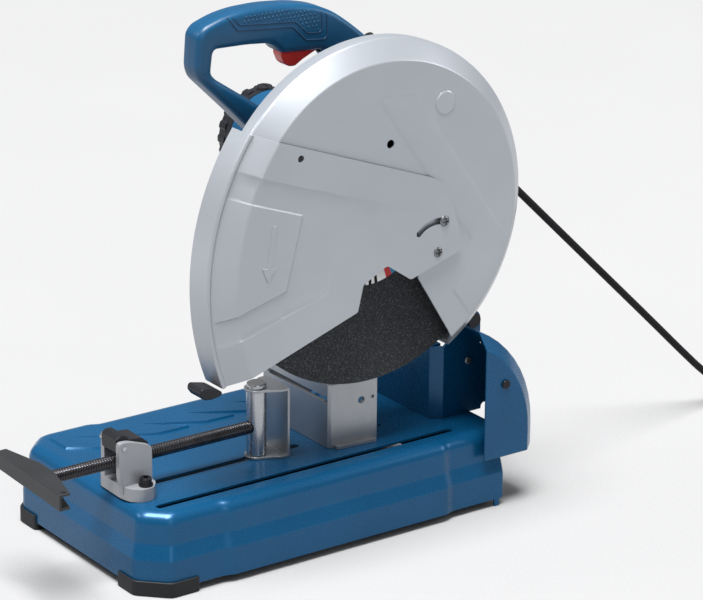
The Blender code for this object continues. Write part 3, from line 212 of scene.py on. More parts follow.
# Each finish's colour, roughness, metallic value, colour spread, broad and grain scale, and bump strength
LOOKS = {
    "blue_paint": ((0.002, 0.062, 0.152), 0.27, 0.3, 0.07, 12, 1400, 0.08),
    "blue_plastic": ((0.002, 0.056, 0.132), 0.36, 0.0, 0.08, 20, 2600, 0.25),
    "guard_silver": ((0.37, 0.395, 0.43), 0.34, 0.5, 0.04, 10, 1600, 0.06),
    "zinc": ((0.33, 0.345, 0.365), 0.36, 0.8, 0.07, 22, 800, 0.05),
    "cast_silver": ((0.29, 0.30, 0.32), 0.42, 0.5, 0.07, 25, 1100, 0.35),
    "steel": ((0.44, 0.45, 0.47), 0.26, 0.95, 0.06, 40, 700, 0.06),
    "screw_grey": ((0.17, 0.18, 0.19), 0.3, 0.85, 0.1, 40, 700, 0.15),
    "dark_steel": ((0.030, 0.032, 0.035), 0.40, 0.5, 0.12, 30, 1100, 0.3),
    "thread_steel": ((0.05, 0.05, 0.055), 0.3, 0.9, 0.2, 60, 900, 0.1),
    "black_steel": ((0.018, 0.018, 0.022), 0.32, 0.7, 0.2, 60, 900, 0.2),
    "black_plastic": ((0.008, 0.009, 0.012), 0.4, 0.0, 0.15, 30, 2400, 0.35),
    # A darker blue that paints the shade inside the handle's groove lines
    "groove_shade_blue": ((0.001, 0.030, 0.085), 0.5, 0.0, 0.1, 40, 2400, 0.2),
    "rubber": ((0.007, 0.008, 0.010), 0.55, 0.0, 0.2, 40, 1800, 0.4),
    "cable": ((0.003, 0.003, 0.004), 0.6, 0.0, 0.2, 60, 2200, 0.3),
    "red_plastic": ((0.62, 0.025, 0.018), 0.32, 0.0, 0.08, 40, 2400, 0.2),
    "copper": ((0.6, 0.25, 0.12), 0.35, 1.0, 0.15, 60, 900, 0.3),
    "brass": ((0.7, 0.5, 0.2), 0.35, 1.0, 0.1, 60, 900, 0.2),
    "label_white": ((0.78, 0.78, 0.78), 0.5, 0.0, 0.03, 60, 900, 0.1),
    "label_red": ((0.55, 0.02, 0.02), 0.5, 0.0, 0.05, 60, 900, 0.1),
    "label_blue": ((0.03, 0.25, 0.50), 0.5, 0.0, 0.05, 60, 900, 0.1),
    "floor": ((0.28, 0.28, 0.283), 0.85, 0.0, 0.01, 3, 300, 0.02),
    "strap": ((0.03, 0.03, 0.032), 0.85, 0.0, 0.2, 60, 1500, 0.6),
}
# Where a finish's reflection, grain direction or clear coat isn't the usual one
SPECULAR = {"blue_paint": 0.4, "blue_plastic": 0.4, "black_plastic": 0.3, "rubber": 0.3, "cable": 0.2}
STREAKS = {"zinc": (1.0, 1.0, 0.06), "steel": (1.0, 1.0, 0.06)}
COATS = {"red_plastic": 0.2}
GRAIN_DEPTH = 0.0001
FINISH = make_materials()


# ------------------------ building blocks


def on_axis(axis, u, v, along):
    """The point at u, v across an axis and some way along it."""
    a, b, c = AXES[axis]
    point = [0.0, 0.0, 0.0]
    point[a], point[b], point[c] = u, v, along
    return point


def skin(bm, rings):
    """Joins rings of corners of the same count with faces, and closes both ends."""
    steps = len(rings[0])
    for one, two in zip(rings, rings[1:]):
        for i in range(steps):
            j = (i + 1) % steps
            bm.faces.new((one[i], one[j], two[j], two[i]))
    bm.faces.new(rings[0])
    bm.faces.new(rings[-1])
    return bm


def prism(outline, axis, low, high):
    """A straight extrusion of a closed outline along X, Y or Z."""
    bm = bmesh.new()
    ends = [[bm.verts.new(on_axis(axis, u, v, at)) for u, v in outline] for at in (low, high)]
    bm.faces.new(ends[0])
    bm.faces.new(list(reversed(ends[1])))
    for i in range(len(outline)):
        j = (i + 1) % len(outline)
        bm.faces.new((ends[0][i], ends[0][j], ends[1][j], ends[1][i]))
    return bm


def block(x, y, z):
    """A box between (low, high) limits on each axis."""
    return prism([(x[0], y[0]), (x[1], y[0]), (x[1], y[1]), (x[0], y[1])], "Z", *z)


def turned(profile, axis, centre, steps=48, closed=False, bend=None):
    """A lathe shape from (along, radius) pairs; bend(radius, angle) may change a radius."""
    bm = bmesh.new()
    a, b, _ = AXES[axis]
    rings = []
    for along, radius in profile:
        if radius == 0:
            rings.append([bm.verts.new(on_axis(axis, centre[a], centre[b], along))])
            continue
        ring = []
        for i in range(steps):
            angle = 2 * math.pi * i / steps
            reach = bend(radius, angle) if bend else radius
            u, v = centre[a] + reach * math.cos(angle), centre[b] + reach * math.sin(angle)
            ring.append(bm.verts.new(on_axis(axis, u, v, along)))
        rings.append(ring)
    pairs = list(zip(rings, rings[1:]))
    if closed:
        pairs.append((rings[-1], rings[0]))
    for one, two in pairs:
        for i in range(steps):
            j = (i + 1) % steps
            corners = [one[i % len(one)], one[j % len(one)], two[j % len(two)], two[i % len(two)]]
            corners = list(dict.fromkeys(corners))
            if len(corners) > 2:
                bm.faces.new(corners)
    return bm


def rod(axis, centre, low, high, radius, steps=32):
    """A plain cylinder along an axis."""
    return turned([(low, 0), (low, radius), (high, radius), (high, 0)], axis, centre, steps)


def arc(centre, radius, start, end, steps):
    """Points along an arc, angles in degrees."""
    angles = [math.radians(start + (end - start) * i / steps) for i in range(steps + 1)]
    return [(centre[0] + radius * math.cos(t), centre[1] + radius * math.sin(t)) for t in angles]


def rounded(outline, radius, steps=4):
    """The outline with each corner rounded, as far as its sides allow."""
    made = []
    for i, corner in enumerate(outline):
        here = Vector(corner)
        back = Vector(outline[i - 1]) - here
        ahead = Vector(outline[(i + 1) % len(outline)]) - here
        reach = min(radius, back.length * 0.45, ahead.length * 0.45)
        start = here + back.normalized() * reach
        end = here + ahead.normalized() * reach
        for k in range(steps + 1):
            t = k / steps
            made.append(tuple(start * (1 - t) ** 2 + here * 2 * t * (1 - t) + end * t * t))
    return made


def stadium(u, v, half_width):
    """A straight slot's outline with round ends, from v's low to its high limit."""
    low = arc((u, v[0] + half_width), half_width, 180, 360, 8)
    return low + arc((u, v[1] - half_width), half_width, 0, 180, 8)


def arc_slot(centre, radius, angles, half_width, steps):
    """A curved slot's outline with round ends, between two angles in degrees."""
    turn = 180 if angles[1] > angles[0] else -180
    ends = [arc(centre, radius, angle, angle, 1)[0] for angle in angles]
    outline = arc(centre, radius + half_width, *angles, steps)
    outline += arc(ends[1], half_width, angles[1], angles[1] + turn, 8)[1:-1]
    outline += arc(centre, radius - half_width, *angles[::-1], steps)
    return outline + arc(ends[0], half_width, angles[0] + turn, angles[0] + 2 * turn, 8)[1:-1]


def solid(name, bm):
    """An object in the frame's metres from a bmesh in saw millimetres."""
    bmesh.ops.recalc_face_normals(bm, faces=bm.faces)
    for vert in bm.verts:
        vert.co = place(vert.co)
    mesh = bpy.data.meshes.new(name)
    bm.to_mesh(mesh)
    bm.free()
    made = bpy.data.objects.new(name, mesh)
    bpy.context.scene.collection.objects.link(made)
    return made


def apply_modifiers(made):
    """Turns the modifiers' result into the object's own mesh."""
    bpy.context.view_layer.update()
    evaluated = made.evaluated_get(bpy.context.evaluated_depsgraph_get())
    mesh = bpy.data.meshes.new_from_object(evaluated)
    made.modifiers.clear()
    made.data = mesh


def carve(made, bm, operation="DIFFERENCE"):
    """Cuts, joins or keeps the overlap with a tool shape, for good."""
    tool = solid("tool", bm)
    step = made.modifiers.new("carve", "BOOLEAN")
    step.operation = operation
    step.object = tool
    apply_modifiers(made)
    bpy.data.objects.remove(tool)
    return made


def bevel(made, width, segments=3, angle=35.0, clamp=True):
    """Breaks the edges that are sharper than an angle in degrees."""
    step = made.modifiers.new("edges", "BEVEL")
    step.width = width / 1000
    step.segments = segments
    step.limit_method = "ANGLE"
    step.angle_limit = math.radians(angle)
    step.use_clamp_overlap = clamp
    return made


def finished(made, material, body, nodes=(), angle=30.0, width=0.0, segments=3):
    """Gives a piece its surface, its body and the frame nodes it stands for."""
    made.data.materials.clear()
    made.data.materials.append(FINISH[material])
    made.data.shade_smooth()
    made.data.set_sharp_from_angle(angle=math.radians(angle))
    if width:
        bevel(made, width, segments)
        weight = made.modifiers.new("normals", "WEIGHTED_NORMAL")
        weight.keep_sharp = True
    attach(made, body)
    if nodes:
        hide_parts(*nodes)
    return made


def refined(node, width, segments):
    """The frame's own shape with its edges broken, as a piece that stands for the node."""
    bm = bmesh.new()
    bm.from_mesh(frame["nodes"][node].data)
    bmesh.ops.remove_doubles(bm, verts=bm.verts, dist=1e-6)
    bmesh.ops.dissolve_limit(bm, angle_limit=math.radians(0.5), verts=bm.verts, edges=bm.edges)
    mesh = bpy.data.meshes.new(node + "_surface")
    bm.to_mesh(mesh)
    bm.free()
    made = bpy.data.objects.new(node + "_surface", mesh)
    bpy.context.scene.collection.objects.link(made)
    return finished(made, SLOTS[node], BODIES[node], (node,), width=width, segments=segments)


def merge(bm, other):
    """Adds another shape to a bmesh."""
    mesh = bpy.data.meshes.new("part")
    other.to_mesh(mesh)
    other.free()
    bm.from_mesh(mesh)
    bpy.data.meshes.remove(mesh)
    return bm


# ------------------------ cord


# The lead's middle line: down from the exit to the floor, a coil, and the tail that climbs to the plug
CORD_REST = CORD_RADIUS + 0.3
CORD_ROUTE = [
    (30.0, 141.5, 476.5),
    (30.0, 170.0, 448.0),
    (30.0, 220.0, 398.5),
    (30.0, 309.0, 312.5),
    (30.0, 400.0, 225.0),
    (30.0, 500.0, 129.0),
    (30.0, 560.0, 71.0),
    (30.0, 591.0, 42.5),
    (30.0, 620.0, 20.5),
    (30.5, 648.0, 9.5),
    (32.5, 672.0, CORD_REST + 0.5),
    (38.0, 692.0, CORD_REST),
    (46.0, 710.0, CORD_REST),
]
COIL_CENTRE = (10.0, 765.0)
COIL_RADII = (54.5, 46.0, 37.5, 37.5, 46.0, 54.5)
COIL_START, COIL_TURNS, COIL_RISE = -22.8, 5.31, 8.8
POINTS_PER_TURN = 36
TAIL_ROUTE = [
    (-26.5, 819.5, CORD_REST + 8.8),
    (-34.3, 820.2, CORD_REST + 9.1),
    (-41.9, 822.2, CORD_REST + 9.9),
    (-49.0, 825.5, CORD_REST + 11.0),
    (-53.6, 828.6, CORD_REST + 11.9),
    (-60.0, 833.4, CORD_REST + 12.8),
    (-66.0, 837.9, 17.8),
]
GLAND_START = Vector((30.0, 107.5, 510.5))
GLAND_AXIS = Vector((0.0, 0.707, -0.707))


def smoothstep(value):
    """0 to 1 with an even start and end."""
    value = min(1.0, max(0.0, value))
    return value * value * (3 - 2 * value)


def coil_points():
    """Three turns inward on the floor and the rest outward on top of them."""
    points = []
    for i in range(int(COIL_TURNS * POINTS_PER_TURN) + 1):
        turn = min(i / POINTS_PER_TURN, COIL_TURNS)
        index = min(int(turn), len(COIL_RADII) - 1)
        before = COIL_RADII[max(0, index - 1)]
        step = smoothstep((turn - index) / 0.3) if index else 1.0
        radius = before + (COIL_RADII[index] - before) * step
        height = CORD_REST + COIL_RISE * smoothstep((turn - 2.85) / 0.4)
        angle = math.radians(COIL_START) + 2 * math.pi * turn
        x = COIL_CENTRE[0] + radius * math.cos(angle)
        y = COIL_CENTRE[1] + radius * math.sin(angle)
        points.append(Vector((x, y, height)))
    return points


def smooth_path(points, spacing):
    """Points at an even spacing on a Catmull-Rom curve through the given ones."""
    fine = []
    padded = [points[0], *points, points[-1]]
    for a, b, c, d in zip(padded, padded[1:], padded[2:], padded[3:]):
        a, b, c, d = (Vector(p) for p in (a, b, c, d))
        for k in range(24):
            t = k / 24
            bend = (2 * a - 5 * b + 4 * c - d) * t**2 + (3 * b - a - 3 * c + d) * t**3
            fine.append(0.5 * (2 * b + (c - a) * t + bend))
    fine.append(Vector(points[-1]))
    made, walked = [fine[0]], 0.0
    for before, after in zip(fine, fine[1:]):
        walked += (after - before).length
        if walked >= spacing:
            made.append(after)
            walked = 0.0
    made.append(fine[-1])
    return made


def curve_piece(name, points, radius, material):
    """A round cable along points, as one open curve."""
    data = bpy.data.curves.new(name, "CURVE")
    data.dimensions = "3D"
    data.bevel_depth = radius / 1000
    data.bevel_resolution = 4
    data.use_fill_caps = True
    spline = data.splines.new("POLY")
    spline.points.add(len(points) - 1)
    for slot, point in zip(spline.points, points):
        slot.co = (*place(point), 1.0)
    data.materials.append(FINISH[material])
    made = bpy.data.objects.new(name, data)
    bpy.context.scene.collection.objects.link(made)
    return made


def sleeve(profile, start, along, steps=28):
    """A turned shape along any direction, from (distance, radius) pairs."""
    bm = bmesh.new()
    side = along.cross(Vector((0, 0, 1))).normalized()
    up = side.cross(along).normalized()
    rings = []
    for reach, radius in profile:
        ring = []
        for i in range(steps):
            angle = 2 * math.pi * i / steps
            offset = (side * math.cos(angle) + up * math.sin(angle)) * radius
            ring.append(bm.verts.new(start + along * reach + offset))
        rings.append(ring)
    return skin(bm, rings)


def make_gland():
    """The tapered strain relief, ribbed along its length."""
    profile = [(0.0, 8.4), (7.5, 8.4), (8.0, 7.8)]
    for k in range(8):
        reach = 9.0 + k * 4.6
        radius = 7.5 - k * 0.32
        profile += [(reach, radius), (reach + 2.4, radius - 0.15)]
        profile += [(reach + 2.7, radius - 1.0), (reach + 4.0, radius - 1.1)]
    profile += [(46.6, 5.1), (47.4, 4.7)]
    made = solid("strain_relief_surface", sleeve(profile, GLAND_START, GLAND_AXIS))
    return finished(made, "rubber", "head", ("strain_relief",), angle=40)


def make_plug():
    """A moulded plug with a collar, a waisted grip and a flat face with two pins."""
    axis = Vector((-0.8, 0.6, 0.0))
    start = Vector(TAIL_ROUTE[-1]) + axis * 3.0
    collar = [(-6.0, 4.5), (-5.4, 5.0), (1.0, 5.6), (13.0, 6.8), (16.0, 9.5), (19.0, 13.0), (24.0, 16.4)]
    grip = [(27.0, 17.2), (33.0, 16.2), (38.0, 16.6), (41.0, 17.3), (43.4, 17.3), (44.0, 16.6)]
    bm = sleeve(collar + grip, start, axis)
    across = axis.cross(Vector((0, 0, 1)))
    for side in (-1, 1):
        pin = [(43.5, 2.3), (57.5, 2.3), (59.0, 1.9), (59.7, 1.1)]
        merge(bm, sleeve(pin, start + across * side * 9.5, axis, 16))
    made = solid("plug_surface", bm)
    return finished(made, "black_plastic", "stand", ("plug",), angle=40)


def make_tie():
    """A strap around the coil's turns."""
    thick, half_width, bearing = 1.1, 6.0, math.radians(250)
    low, high = min(COIL_RADII) - CORD_RADIUS - 0.3, max(COIL_RADII) + CORD_RADIUS + 0.3
    top = CORD_REST + COIL_RISE + CORD_RADIUS + 0.2
    inner = rounded([(low, 0.28), (high, 0.28), (high, top), (low, top)], 2.0, 4)
    low, high, top = low - thick, high + thick, top + thick
    outer = rounded([(low, 0.05), (high, 0.05), (high, top), (low, top)], 2.6, 4)
    direction = Vector((math.cos(bearing), math.sin(bearing), 0.0))
    side = Vector((-direction.y, direction.x, 0.0))
    middle = Vector((*COIL_CENTRE, 0.0))
    bm = bmesh.new()
    loops = []
    for outline, way in ((inner, -1), (outer, -1), (outer, 1), (inner, 1)):
        across = side * (half_width * way)
        corners = [middle + direction * r + across + Vector((0, 0, z)) for r, z in outline]
        loops.append([bm.verts.new(corner) for corner in corners])
    for k in range(4):
        one, two = loops[k], loops[(k + 1) % 4]
        for i in range(len(one)):
            j = (i + 1) % len(one)
            bm.faces.new((one[i], one[j], two[j], two[i]))
    made = solid("coil_tie", bm)
    return finished(made, "strap", "stand", angle=40)


def between(one, two):
    """Five points on the short way from one to two."""
    return [one.lerp(two, k / 6) for k in range(1, 6)]


def make_cord():
    """One mains lead from the gland to the floor, its tied coil and its plug."""
    run, coil, tail = smooth_path(CORD_ROUTE, 7.0), coil_points(), smooth_path(TAIL_ROUTE, 5.0)
    points = run + between(run[-1], coil[0]) + coil + between(coil[-1], tail[0]) + tail
    cord = curve_piece("mains_lead", points, CORD_RADIUS, "cable")
    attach(cord, "stand")
    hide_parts("cord", "cord_coil", "cord_tail")
    extras = [make_plug(), make_tie(), make_gland()]


# ------------------------ base


def base_outline(inset, rear=BASE_END):
    """The tray seen from above: cut front corners, stepped long sides and a flat rear end."""
    end = BASE_END - inset
    corner = 27.0 - inset * 0.4
    right, left = BASE_RIGHT - inset, -BASE_LEFT + inset
    narrow, waist = right - 4.0, left + 5.4
    return [
        (narrow - corner, -end),
        (narrow, -end + corner),
        (narrow, -134.0),
        (right, -124.0),
        (right, 146.0),
        (narrow, 154.0),
        (narrow, rear - 2.0),
        (narrow - 2.0, rear),
        (waist + 2.0, rear),
        (waist, rear - 2.0),
        (waist, -124.0),
        (left, -134.0),
        (left, -end + corner),
        (left + corner, -end),
    ]


def ring_stack(levels):
    """A solid through flat outlines at their heights."""
    bm = bmesh.new()
    return skin(bm, [[bm.verts.new((x, y, z)) for x, y in outline] for outline, z in levels])


def raised(outline, z, height, slope):
    """A low plateau with sloping sides."""
    bm = prism(outline, "Z", z - 1.2, z + 0.02)
    top = max(bm.faces, key=lambda face: face.calc_center_median().z)
    bmesh.ops.recalc_face_normals(bm, faces=bm.faces)
    bmesh.ops.inset_region(bm, faces=[top], thickness=slope, depth=height)
    return bm


def comb_outline():
    """The pressed pattern left of the vise: a strip whose right side has slanting notches."""
    inner, pitch = -66.0, 57.0
    outline = [(-119.5, -191.5), (-86.0, -191.5), (inner, -159.0)]
    outline += [(inner, -110.0), (-110.0, -174.0), (inner, -91.0)]
    for k in range(4):
        y = pitch * k
        outline += [(inner, y - 50.0), (-98.0, y - 89.0), (inner, y - 30.0)]
    return outline + [(inner, 158.0), (-107.0, 158.0), (-107.0, -106.0), (-119.5, -131.0)]


def make_base():
    """The pressed tray with its pattern, slots, bolt holes and two rear feet folded from the skirt."""
    profile = [(8, 0), (36.5, 0.3), (38.5, 0.9), (52, 5.4), (54.5, 6.0), (73, 6.6), (78.4, 8.2)]
    profile += [(82.4, 11.2), (85, 15.6), (BASE_TOP, 21.0)]
    sheet, corner = 2.5, 7.0
    outside = [(rounded(base_outline(inset), corner, 5), z) for z, inset in profile]
    inside = []
    for z, inset in profile:
        drop = 2.2 if z > profile[0][0] else 0.0
        inside.append((rounded(base_outline(inset + sheet, BASE_END - sheet), corner, 5), z - drop))
    tray = solid("base_tray_surface", ring_stack(inside[::-1] + outside))
    carve(tray, raised(comb_outline(), BASE_TOP, 2.0, 2.0), "UNION")
    levels, half_slot = (BASE_TOP - 12, BASE_TOP + 4), 4.25
    wheel_slot, jaw_slot = (96.0, (-194.0, 176.0)), (SPINDLE_X, (-163.0, 16.5))
    for x, ends in (wheel_slot, jaw_slot):
        carve(tray, prism(stadium(x, ends, half_slot), "Z", *levels))
    carve(tray, prism(arc_slot(FENCE_PIVOT, 82.0, (180.0, 134.0), 4.6, 12), "Z", *levels))
    holes = [(spot, 4.3) for spot in (*BRACKET_BOLTS.values(), FENCE_PIVOT)] + [(FENCE_REAR, 3.0)]
    for spot, radius in holes:
        carve(tray, rod("Z", (*spot, 0), *levels, radius, 20))
    for outer, inward in ((BASE_RIGHT - 4.0, -1), (5.4 - BASE_LEFT, 1)):
        across = sorted((outer + inward * 0.05, outer + inward * sheet))
        carve(tray, block(across, (211.5, 217.9), (0.0, 14.0)), "UNION")
    finished(tray, "blue_paint", "stand", ("base_tray",), angle=28, width=0.5, segments=2)


# ------------------------ guards


def segment_distance(point, a, b):
    """How far a point lies from the segment a to b."""
    run = b - a
    t = min(1.0, max(0.0, (point - a).dot(run) / run.dot(run)))
    return (point - a - run * t).length


def inside_distance(point, polygon):
    """How far a point lies inside a polygon, 0 outside."""
    inside = False
    nearest = 1e9
    for i, corner in enumerate(polygon):
        a, b = Vector(polygon[i - 1]), Vector(corner)
        if (a.y > point.y) != (b.y > point.y):
            if point.x < (b.x - a.x) * (point.y - a.y) / (b.y - a.y) + a.x:
                inside = not inside
        nearest = min(nearest, segment_distance(point, a, b))
    return nearest if inside else 0.0


def crease(bm, polygon, slope, least_x):
    """Cuts the outer skin along a polygon's sides and along lines one slope inside them."""
    for i, corner in enumerate(polygon):
        a, b = Vector(polygon[i - 1]), Vector(corner)
        run = (b - a).normalized()
        across = Vector((0.0, -run.y, run.x))
        for shift in (-slope, 0.0, slope):
            faces = [f for f in bm.faces if min(v.co.x for v in f.verts) > least_x]
            geometry = set(faces)
            for face in faces:
                geometry.update(face.edges)
                geometry.update(face.verts)
            point = Vector((0.0, a.x, a.y)) + across * shift
            bmesh.ops.bisect_plane(bm, geom=list(geometry), dist=0.0005, plane_co=point, plane_no=across)


def emboss(made, polygons, slope, least_x, height):
    """Moves the outer skin out along X by height(point) after creasing it along the polygons."""
    bm = bmesh.new()
    bm.from_mesh(made.data)
    for vert in bm.verts:
        vert.co = vert.co * 1000 - SHIFT
    for polygon in polygons:
        crease(bm, polygon, slope, least_x)
    for vert in bm.verts:
        if vert.co.x > least_x:
            vert.co.x += height(Vector((vert.co.y, vert.co.z)))
    for vert in bm.verts:
        vert.co = place(vert.co)
    bm.to_mesh(made.data)
    bm.free()
    return made


# The raised band down the drum's face, and the lower edge that the drum's face and back share, as (y, z)
BAND = [(55, 478.8), (105.5, 473.2), (217, 314), (262, 262)]
BAND += [(200, 190), (172.3, 229), (155.4, 253.2), (177, 306.6)]
DRUM_EDGE = [(111, 276), (150, 212.5), (158, 198), (172, 176), (172, 100), (-200, 100), (-200, 452)]


def fixed_guard_height(point):
    """A low band that fades out before the drum's rim."""
    reach = (point - Vector((GUARD.y, GUARD.z))).length
    fade = min(1.0, max(0.0, (165.5 - reach) / 8.0))
    return 1.1 * fade * min(1.0, inside_distance(point, BAND) / 3.0)


def make_fixed_guard():
    """The drum over the wheel's upper half."""
    back, face, radius, t = 84.0, 120.0, 187.5, 2.0
    outer = [(back, 30.0), (back, radius - 1.2), (back + 1.2, radius), (98.5, radius), (100.5, 187.1)]
    outer += [(102.3, 186.1), (119.0, 168.6), (119.8, 167.2), (face, 165.6), (face, 157.5), (face, 40.0)]
    inner = [(face - t, 40.0), (face - t, 165.0), (101.0, 185.0), (98.5, radius - t)]
    inner += [(back + t, radius - t), (back + t, 30.0)]
    guard = solid("fixed_guard_surface", turned(outer + inner, "X", GUARD, 160, closed=True))
    carve(guard, rod("X", GUARD, face - t, face, 40.4, 160), "UNION")
    below_face = [(-140, 452), (48, 398), (95, 384), (110, 330)] + DRUM_EDGE
    carve(guard, prism(below_face, "X", back + 4.0, face + 6.0))
    below_back = [(-140, 452), (14, 330), (30, 306), (64, 298)] + DRUM_EDGE
    carve(guard, prism(below_back, "X", back - 6.0, back + 4.0))
    emboss(guard, [BAND], 3.0, face - 0.05, fixed_guard_height)
    depth = (110.0, 130.0)
    carve(guard, rod("X", (0, 73.6, 426.4), *depth, 4.6, 24))
    for centre in (COVER_PIVOT, LIMIT_SCREW):
        carve(guard, rod("X", centre, *depth, 3.3, 16))
    boss = [(face - 1, 0), (face - 1, 12.6), (face + 0.2, 12.6), (face + 1.1, 11.4), (face + 1.1, 0)]
    carve(guard, turned(boss, "X", (0, 142, 458.9), 40), "UNION")
    finished(guard, "guard_silver", "head", ("fixed_guard",), angle=24, width=0.35, segments=2)


# The front guard's raised panel and the sunk field around it, as (y, z)
PANEL = [(-150.0, 414.5), (-35.6, 372.8), (-55.5, 295.6), (-170.0, 264.0)]
FIELD = [(-160.0, 446.6), (98.0, 352.8), (10.0, 347.0), (-7.0, 283.6), (-190.0, 231.0)]


def front_guard_height(point):
    """A raised rim around a field that is deepest at the left, and a raised panel in the field."""
    fade = min(1.0, segment_distance(point, Vector(FIELD[1]), Vector(FIELD[2])) / 62.0)
    field = min(1.0, inside_distance(point, FIELD) / 4.0)
    panel = min(1.0, inside_distance(point, PANEL) / 1.6)
    rim = 1.0 - smoothstep((point - Vector((COVER_PIVOT.y, COVER_PIVOT.z))).length / 12.0 - 21.6)
    return rim * (2.2 * fade * (1.0 - field) + 1.5 * panel)


def arrow_outline():
    """A plain arrow that points down along the panel."""
    top, tip = Vector((-70.5, 368.0)), Vector((-79.8, 310.0))
    along = (tip - top).normalized()
    side = Vector((-along.y, along.x))
    neck = tip - along * 15.0
    shaft, barb = side * 2.7, side * 9.0
    points = [top + shaft, neck + shaft, neck + barb, tip, neck - barb, neck - shaft, top - shaft]
    return [tuple(p) for p in points]


def cover_outline():
    """The side view of the cover's plate, left open past its rim on the left."""
    top = [(-150, 483.5), (123.0, 383.6), (130, 380.5), (137.5, 374.5), (152.5, 342.5), (162.0, 305.5)]
    ear = [(161.5, 301.5), (158.5, 298.5), (99.5, 279.6), (96.5, 279.6), (69.0, 298.6), (65.8, 298.8)]
    notch = [(38.5, 285.5), (37.2, 283.5), (31.0, 257.6), (29.5, 256.4)]
    return top + ear + notch + [(-150, 195), (-190, 181), (-190, 505)]


def make_front_guard():
    """The swinging cover: a pressed plate with a bevel, a bead and a rim."""
    back, face, t = 81.0, COVER_PIVOT.x, 2.0
    outer = [(face, 30.0), (face, 150.0), (face, 244.5), (123.2, 246.2), (122.4, 247.8), (118.0, 256.8)]
    outer += [(113.6, 266.4), (112.6, 269.6), (113.0, 270.6), (114.0, 271.8), (113.8, 273.6), (112.6, 274.8)]
    outer += [(111.0, 275.0), (back + 1.0, 275.0), (back, 274.2)]
    inner = [(back, 273.0), (109.5, 273.0), (111.0, 270.0), (face - 2.4, 246.0)]
    inner += [(face - t, 244.0), (face - t, 30.0)]
    cover = solid("front_guard_surface", turned(outer + inner, "X", COVER_PIVOT, 200, closed=True))
    carve(cover, rod("X", COVER_PIVOT, face - t, face, 30.3, 200), "UNION")
    carve(cover, prism(cover_outline(), "X", back - 6.0, face + 6.0), "INTERSECT")
    emboss(cover, [FIELD, PANEL], 1.6, 111.6, front_guard_height)
    arrow = prism(arrow_outline(), "X", face - 0.5, face + 1.22)
    bmesh.ops.recalc_face_normals(arrow, faces=arrow.faces)
    top = max(arrow.faces, key=lambda side: side.calc_center_median().x)
    bmesh.ops.inset_region(arrow, faces=[top], thickness=1.1, depth=1.1)
    carve(cover, arrow, "UNION")
    through = (face - 10, face + 10)
    slot = arc_slot(COVER_PIVOT.yz, 33.2, (75.5, 134.5), 3.7, 16)
    carve(cover, prism(slot, "X", *through))
    carve(cover, rod("X", COVER_PIVOT, *through, 3.3, 20))
    carve(cover, rod("X", COVER_RIVET, *through, 3.7, 24))
    finished(cover, "guard_silver", "cover", ("front_guard",), angle=22, width=0.3, segments=2)
    stud = [(face - 1.6, 0), (face - 1.6, 3.5), (face - 0.2, 3.5), (face + 0.3, 2.6), (face + 0.5, 0)]
    stud = solid("cover_rivet", turned(stud, "X", COVER_RIVET, 24))
    finished(stud, "dark_steel", "cover", angle=40)


# ------------------------ wheel and screws


LABEL_SECTORS = {"label_red": (-72, -65), "label_blue": (-65, 20)}
LABEL_BARS = (-95, -80)


def label_colour(angle):
    """The label's colour at an angle in degrees round the wheel."""
    for name, (low, high) in LABEL_SECTORS.items():
        if low <= angle < high:
            return name
    in_bars = LABEL_BARS[0] < angle < LABEL_BARS[1]
    return "cable" if in_bars and int(-angle / 3) % 2 else "label_white"


def make_wheel():
    """The cut-off wheel with its paper label, which has plain colour sectors and bars."""
    left, right, rim, bore = 94.5, 97.5, 177.5, 12.7
    profile = [(left, bore), (left, rim - 0.5), (left + 0.5, rim), (right - 0.5, rim)]
    profile += [(right, rim - 0.5), (right, bore)]
    made = solid("wheel_surface", turned(profile, "X", WHEEL, 192, closed=True))
    finished(made, "abrasive", "wheel_train", ("abrasive_wheel",), angle=40)
    low, high, top = 38.6, 72.0, right + 0.22
    label = [(right, low), (top, low), (top, high), (right, high)]
    disc = solid("wheel_label", turned(label, "X", WHEEL, 120, closed=True))
    finished(disc, "label_white", "wheel_train", angle=40)
    colours = ["label_white", "label_red", "label_blue", "cable"]
    for extra in colours[1:]:
        disc.data.materials.append(FINISH[extra])
    for face in disc.data.polygons:
        centre = face.center * 1000 - SHIFT - WHEEL
        angle = math.degrees(math.atan2(centre.z, centre.y))
        face.material_index = colours.index(label_colour(angle))


def cross_screw(name, nodes, centre, base, height, radius, body):
    """A domed screw head with a cross recess that faces right; nodes are the frame screws it stands for."""
    tip, neck = base + height, radius * 0.48
    dome = [(base - 10.0, 0), (base - 10.0, neck), (base, neck), (base, radius)]
    dome += [(base + height * 0.35, radius), (base + height * 0.75, radius * 0.82)]
    dome += [(tip, radius * 0.5), (tip, 0)]
    made = solid(name, turned(dome, "X", centre, 32))
    y, z = centre[1:]
    arm, wide = radius * 0.62, radius * 0.15
    low, high = tip - height * 0.55, tip + 1.0
    for dy, dz in ((arm, wide), (wide, arm)):
        bar = [(y - dy, z - dz), (y + dy, z - dz), (y + dy, z + dz), (y - dy, z + dz)]
        carve(made, prism(bar, "X", low, high))
    return finished(made, "screw_grey", body, nodes, angle=35)


def socket_bolt(node, centre, radius):
    """A black bolt with a washer and a hexagonal socket, standing up."""
    shank, bottom, low, high = 3.0, 78.0, 100.3, 109.0
    head = radius * 0.82
    profile = [(bottom, 0), (bottom, shank), (low, shank), (low, radius), (low + 1.8, radius)]
    profile += [(low + 2.0, head), (high - 1.2, head), (high, radius * 0.7), (high, 0)]
    made = solid(node + "_surface", turned(profile, "Z", centre, 40))
    carve(made, rod("Z", centre, high - 3.0, high + 2.0, radius * 0.42, 6))
    return finished(made, "black_steel", "stand", (node,), angle=35)


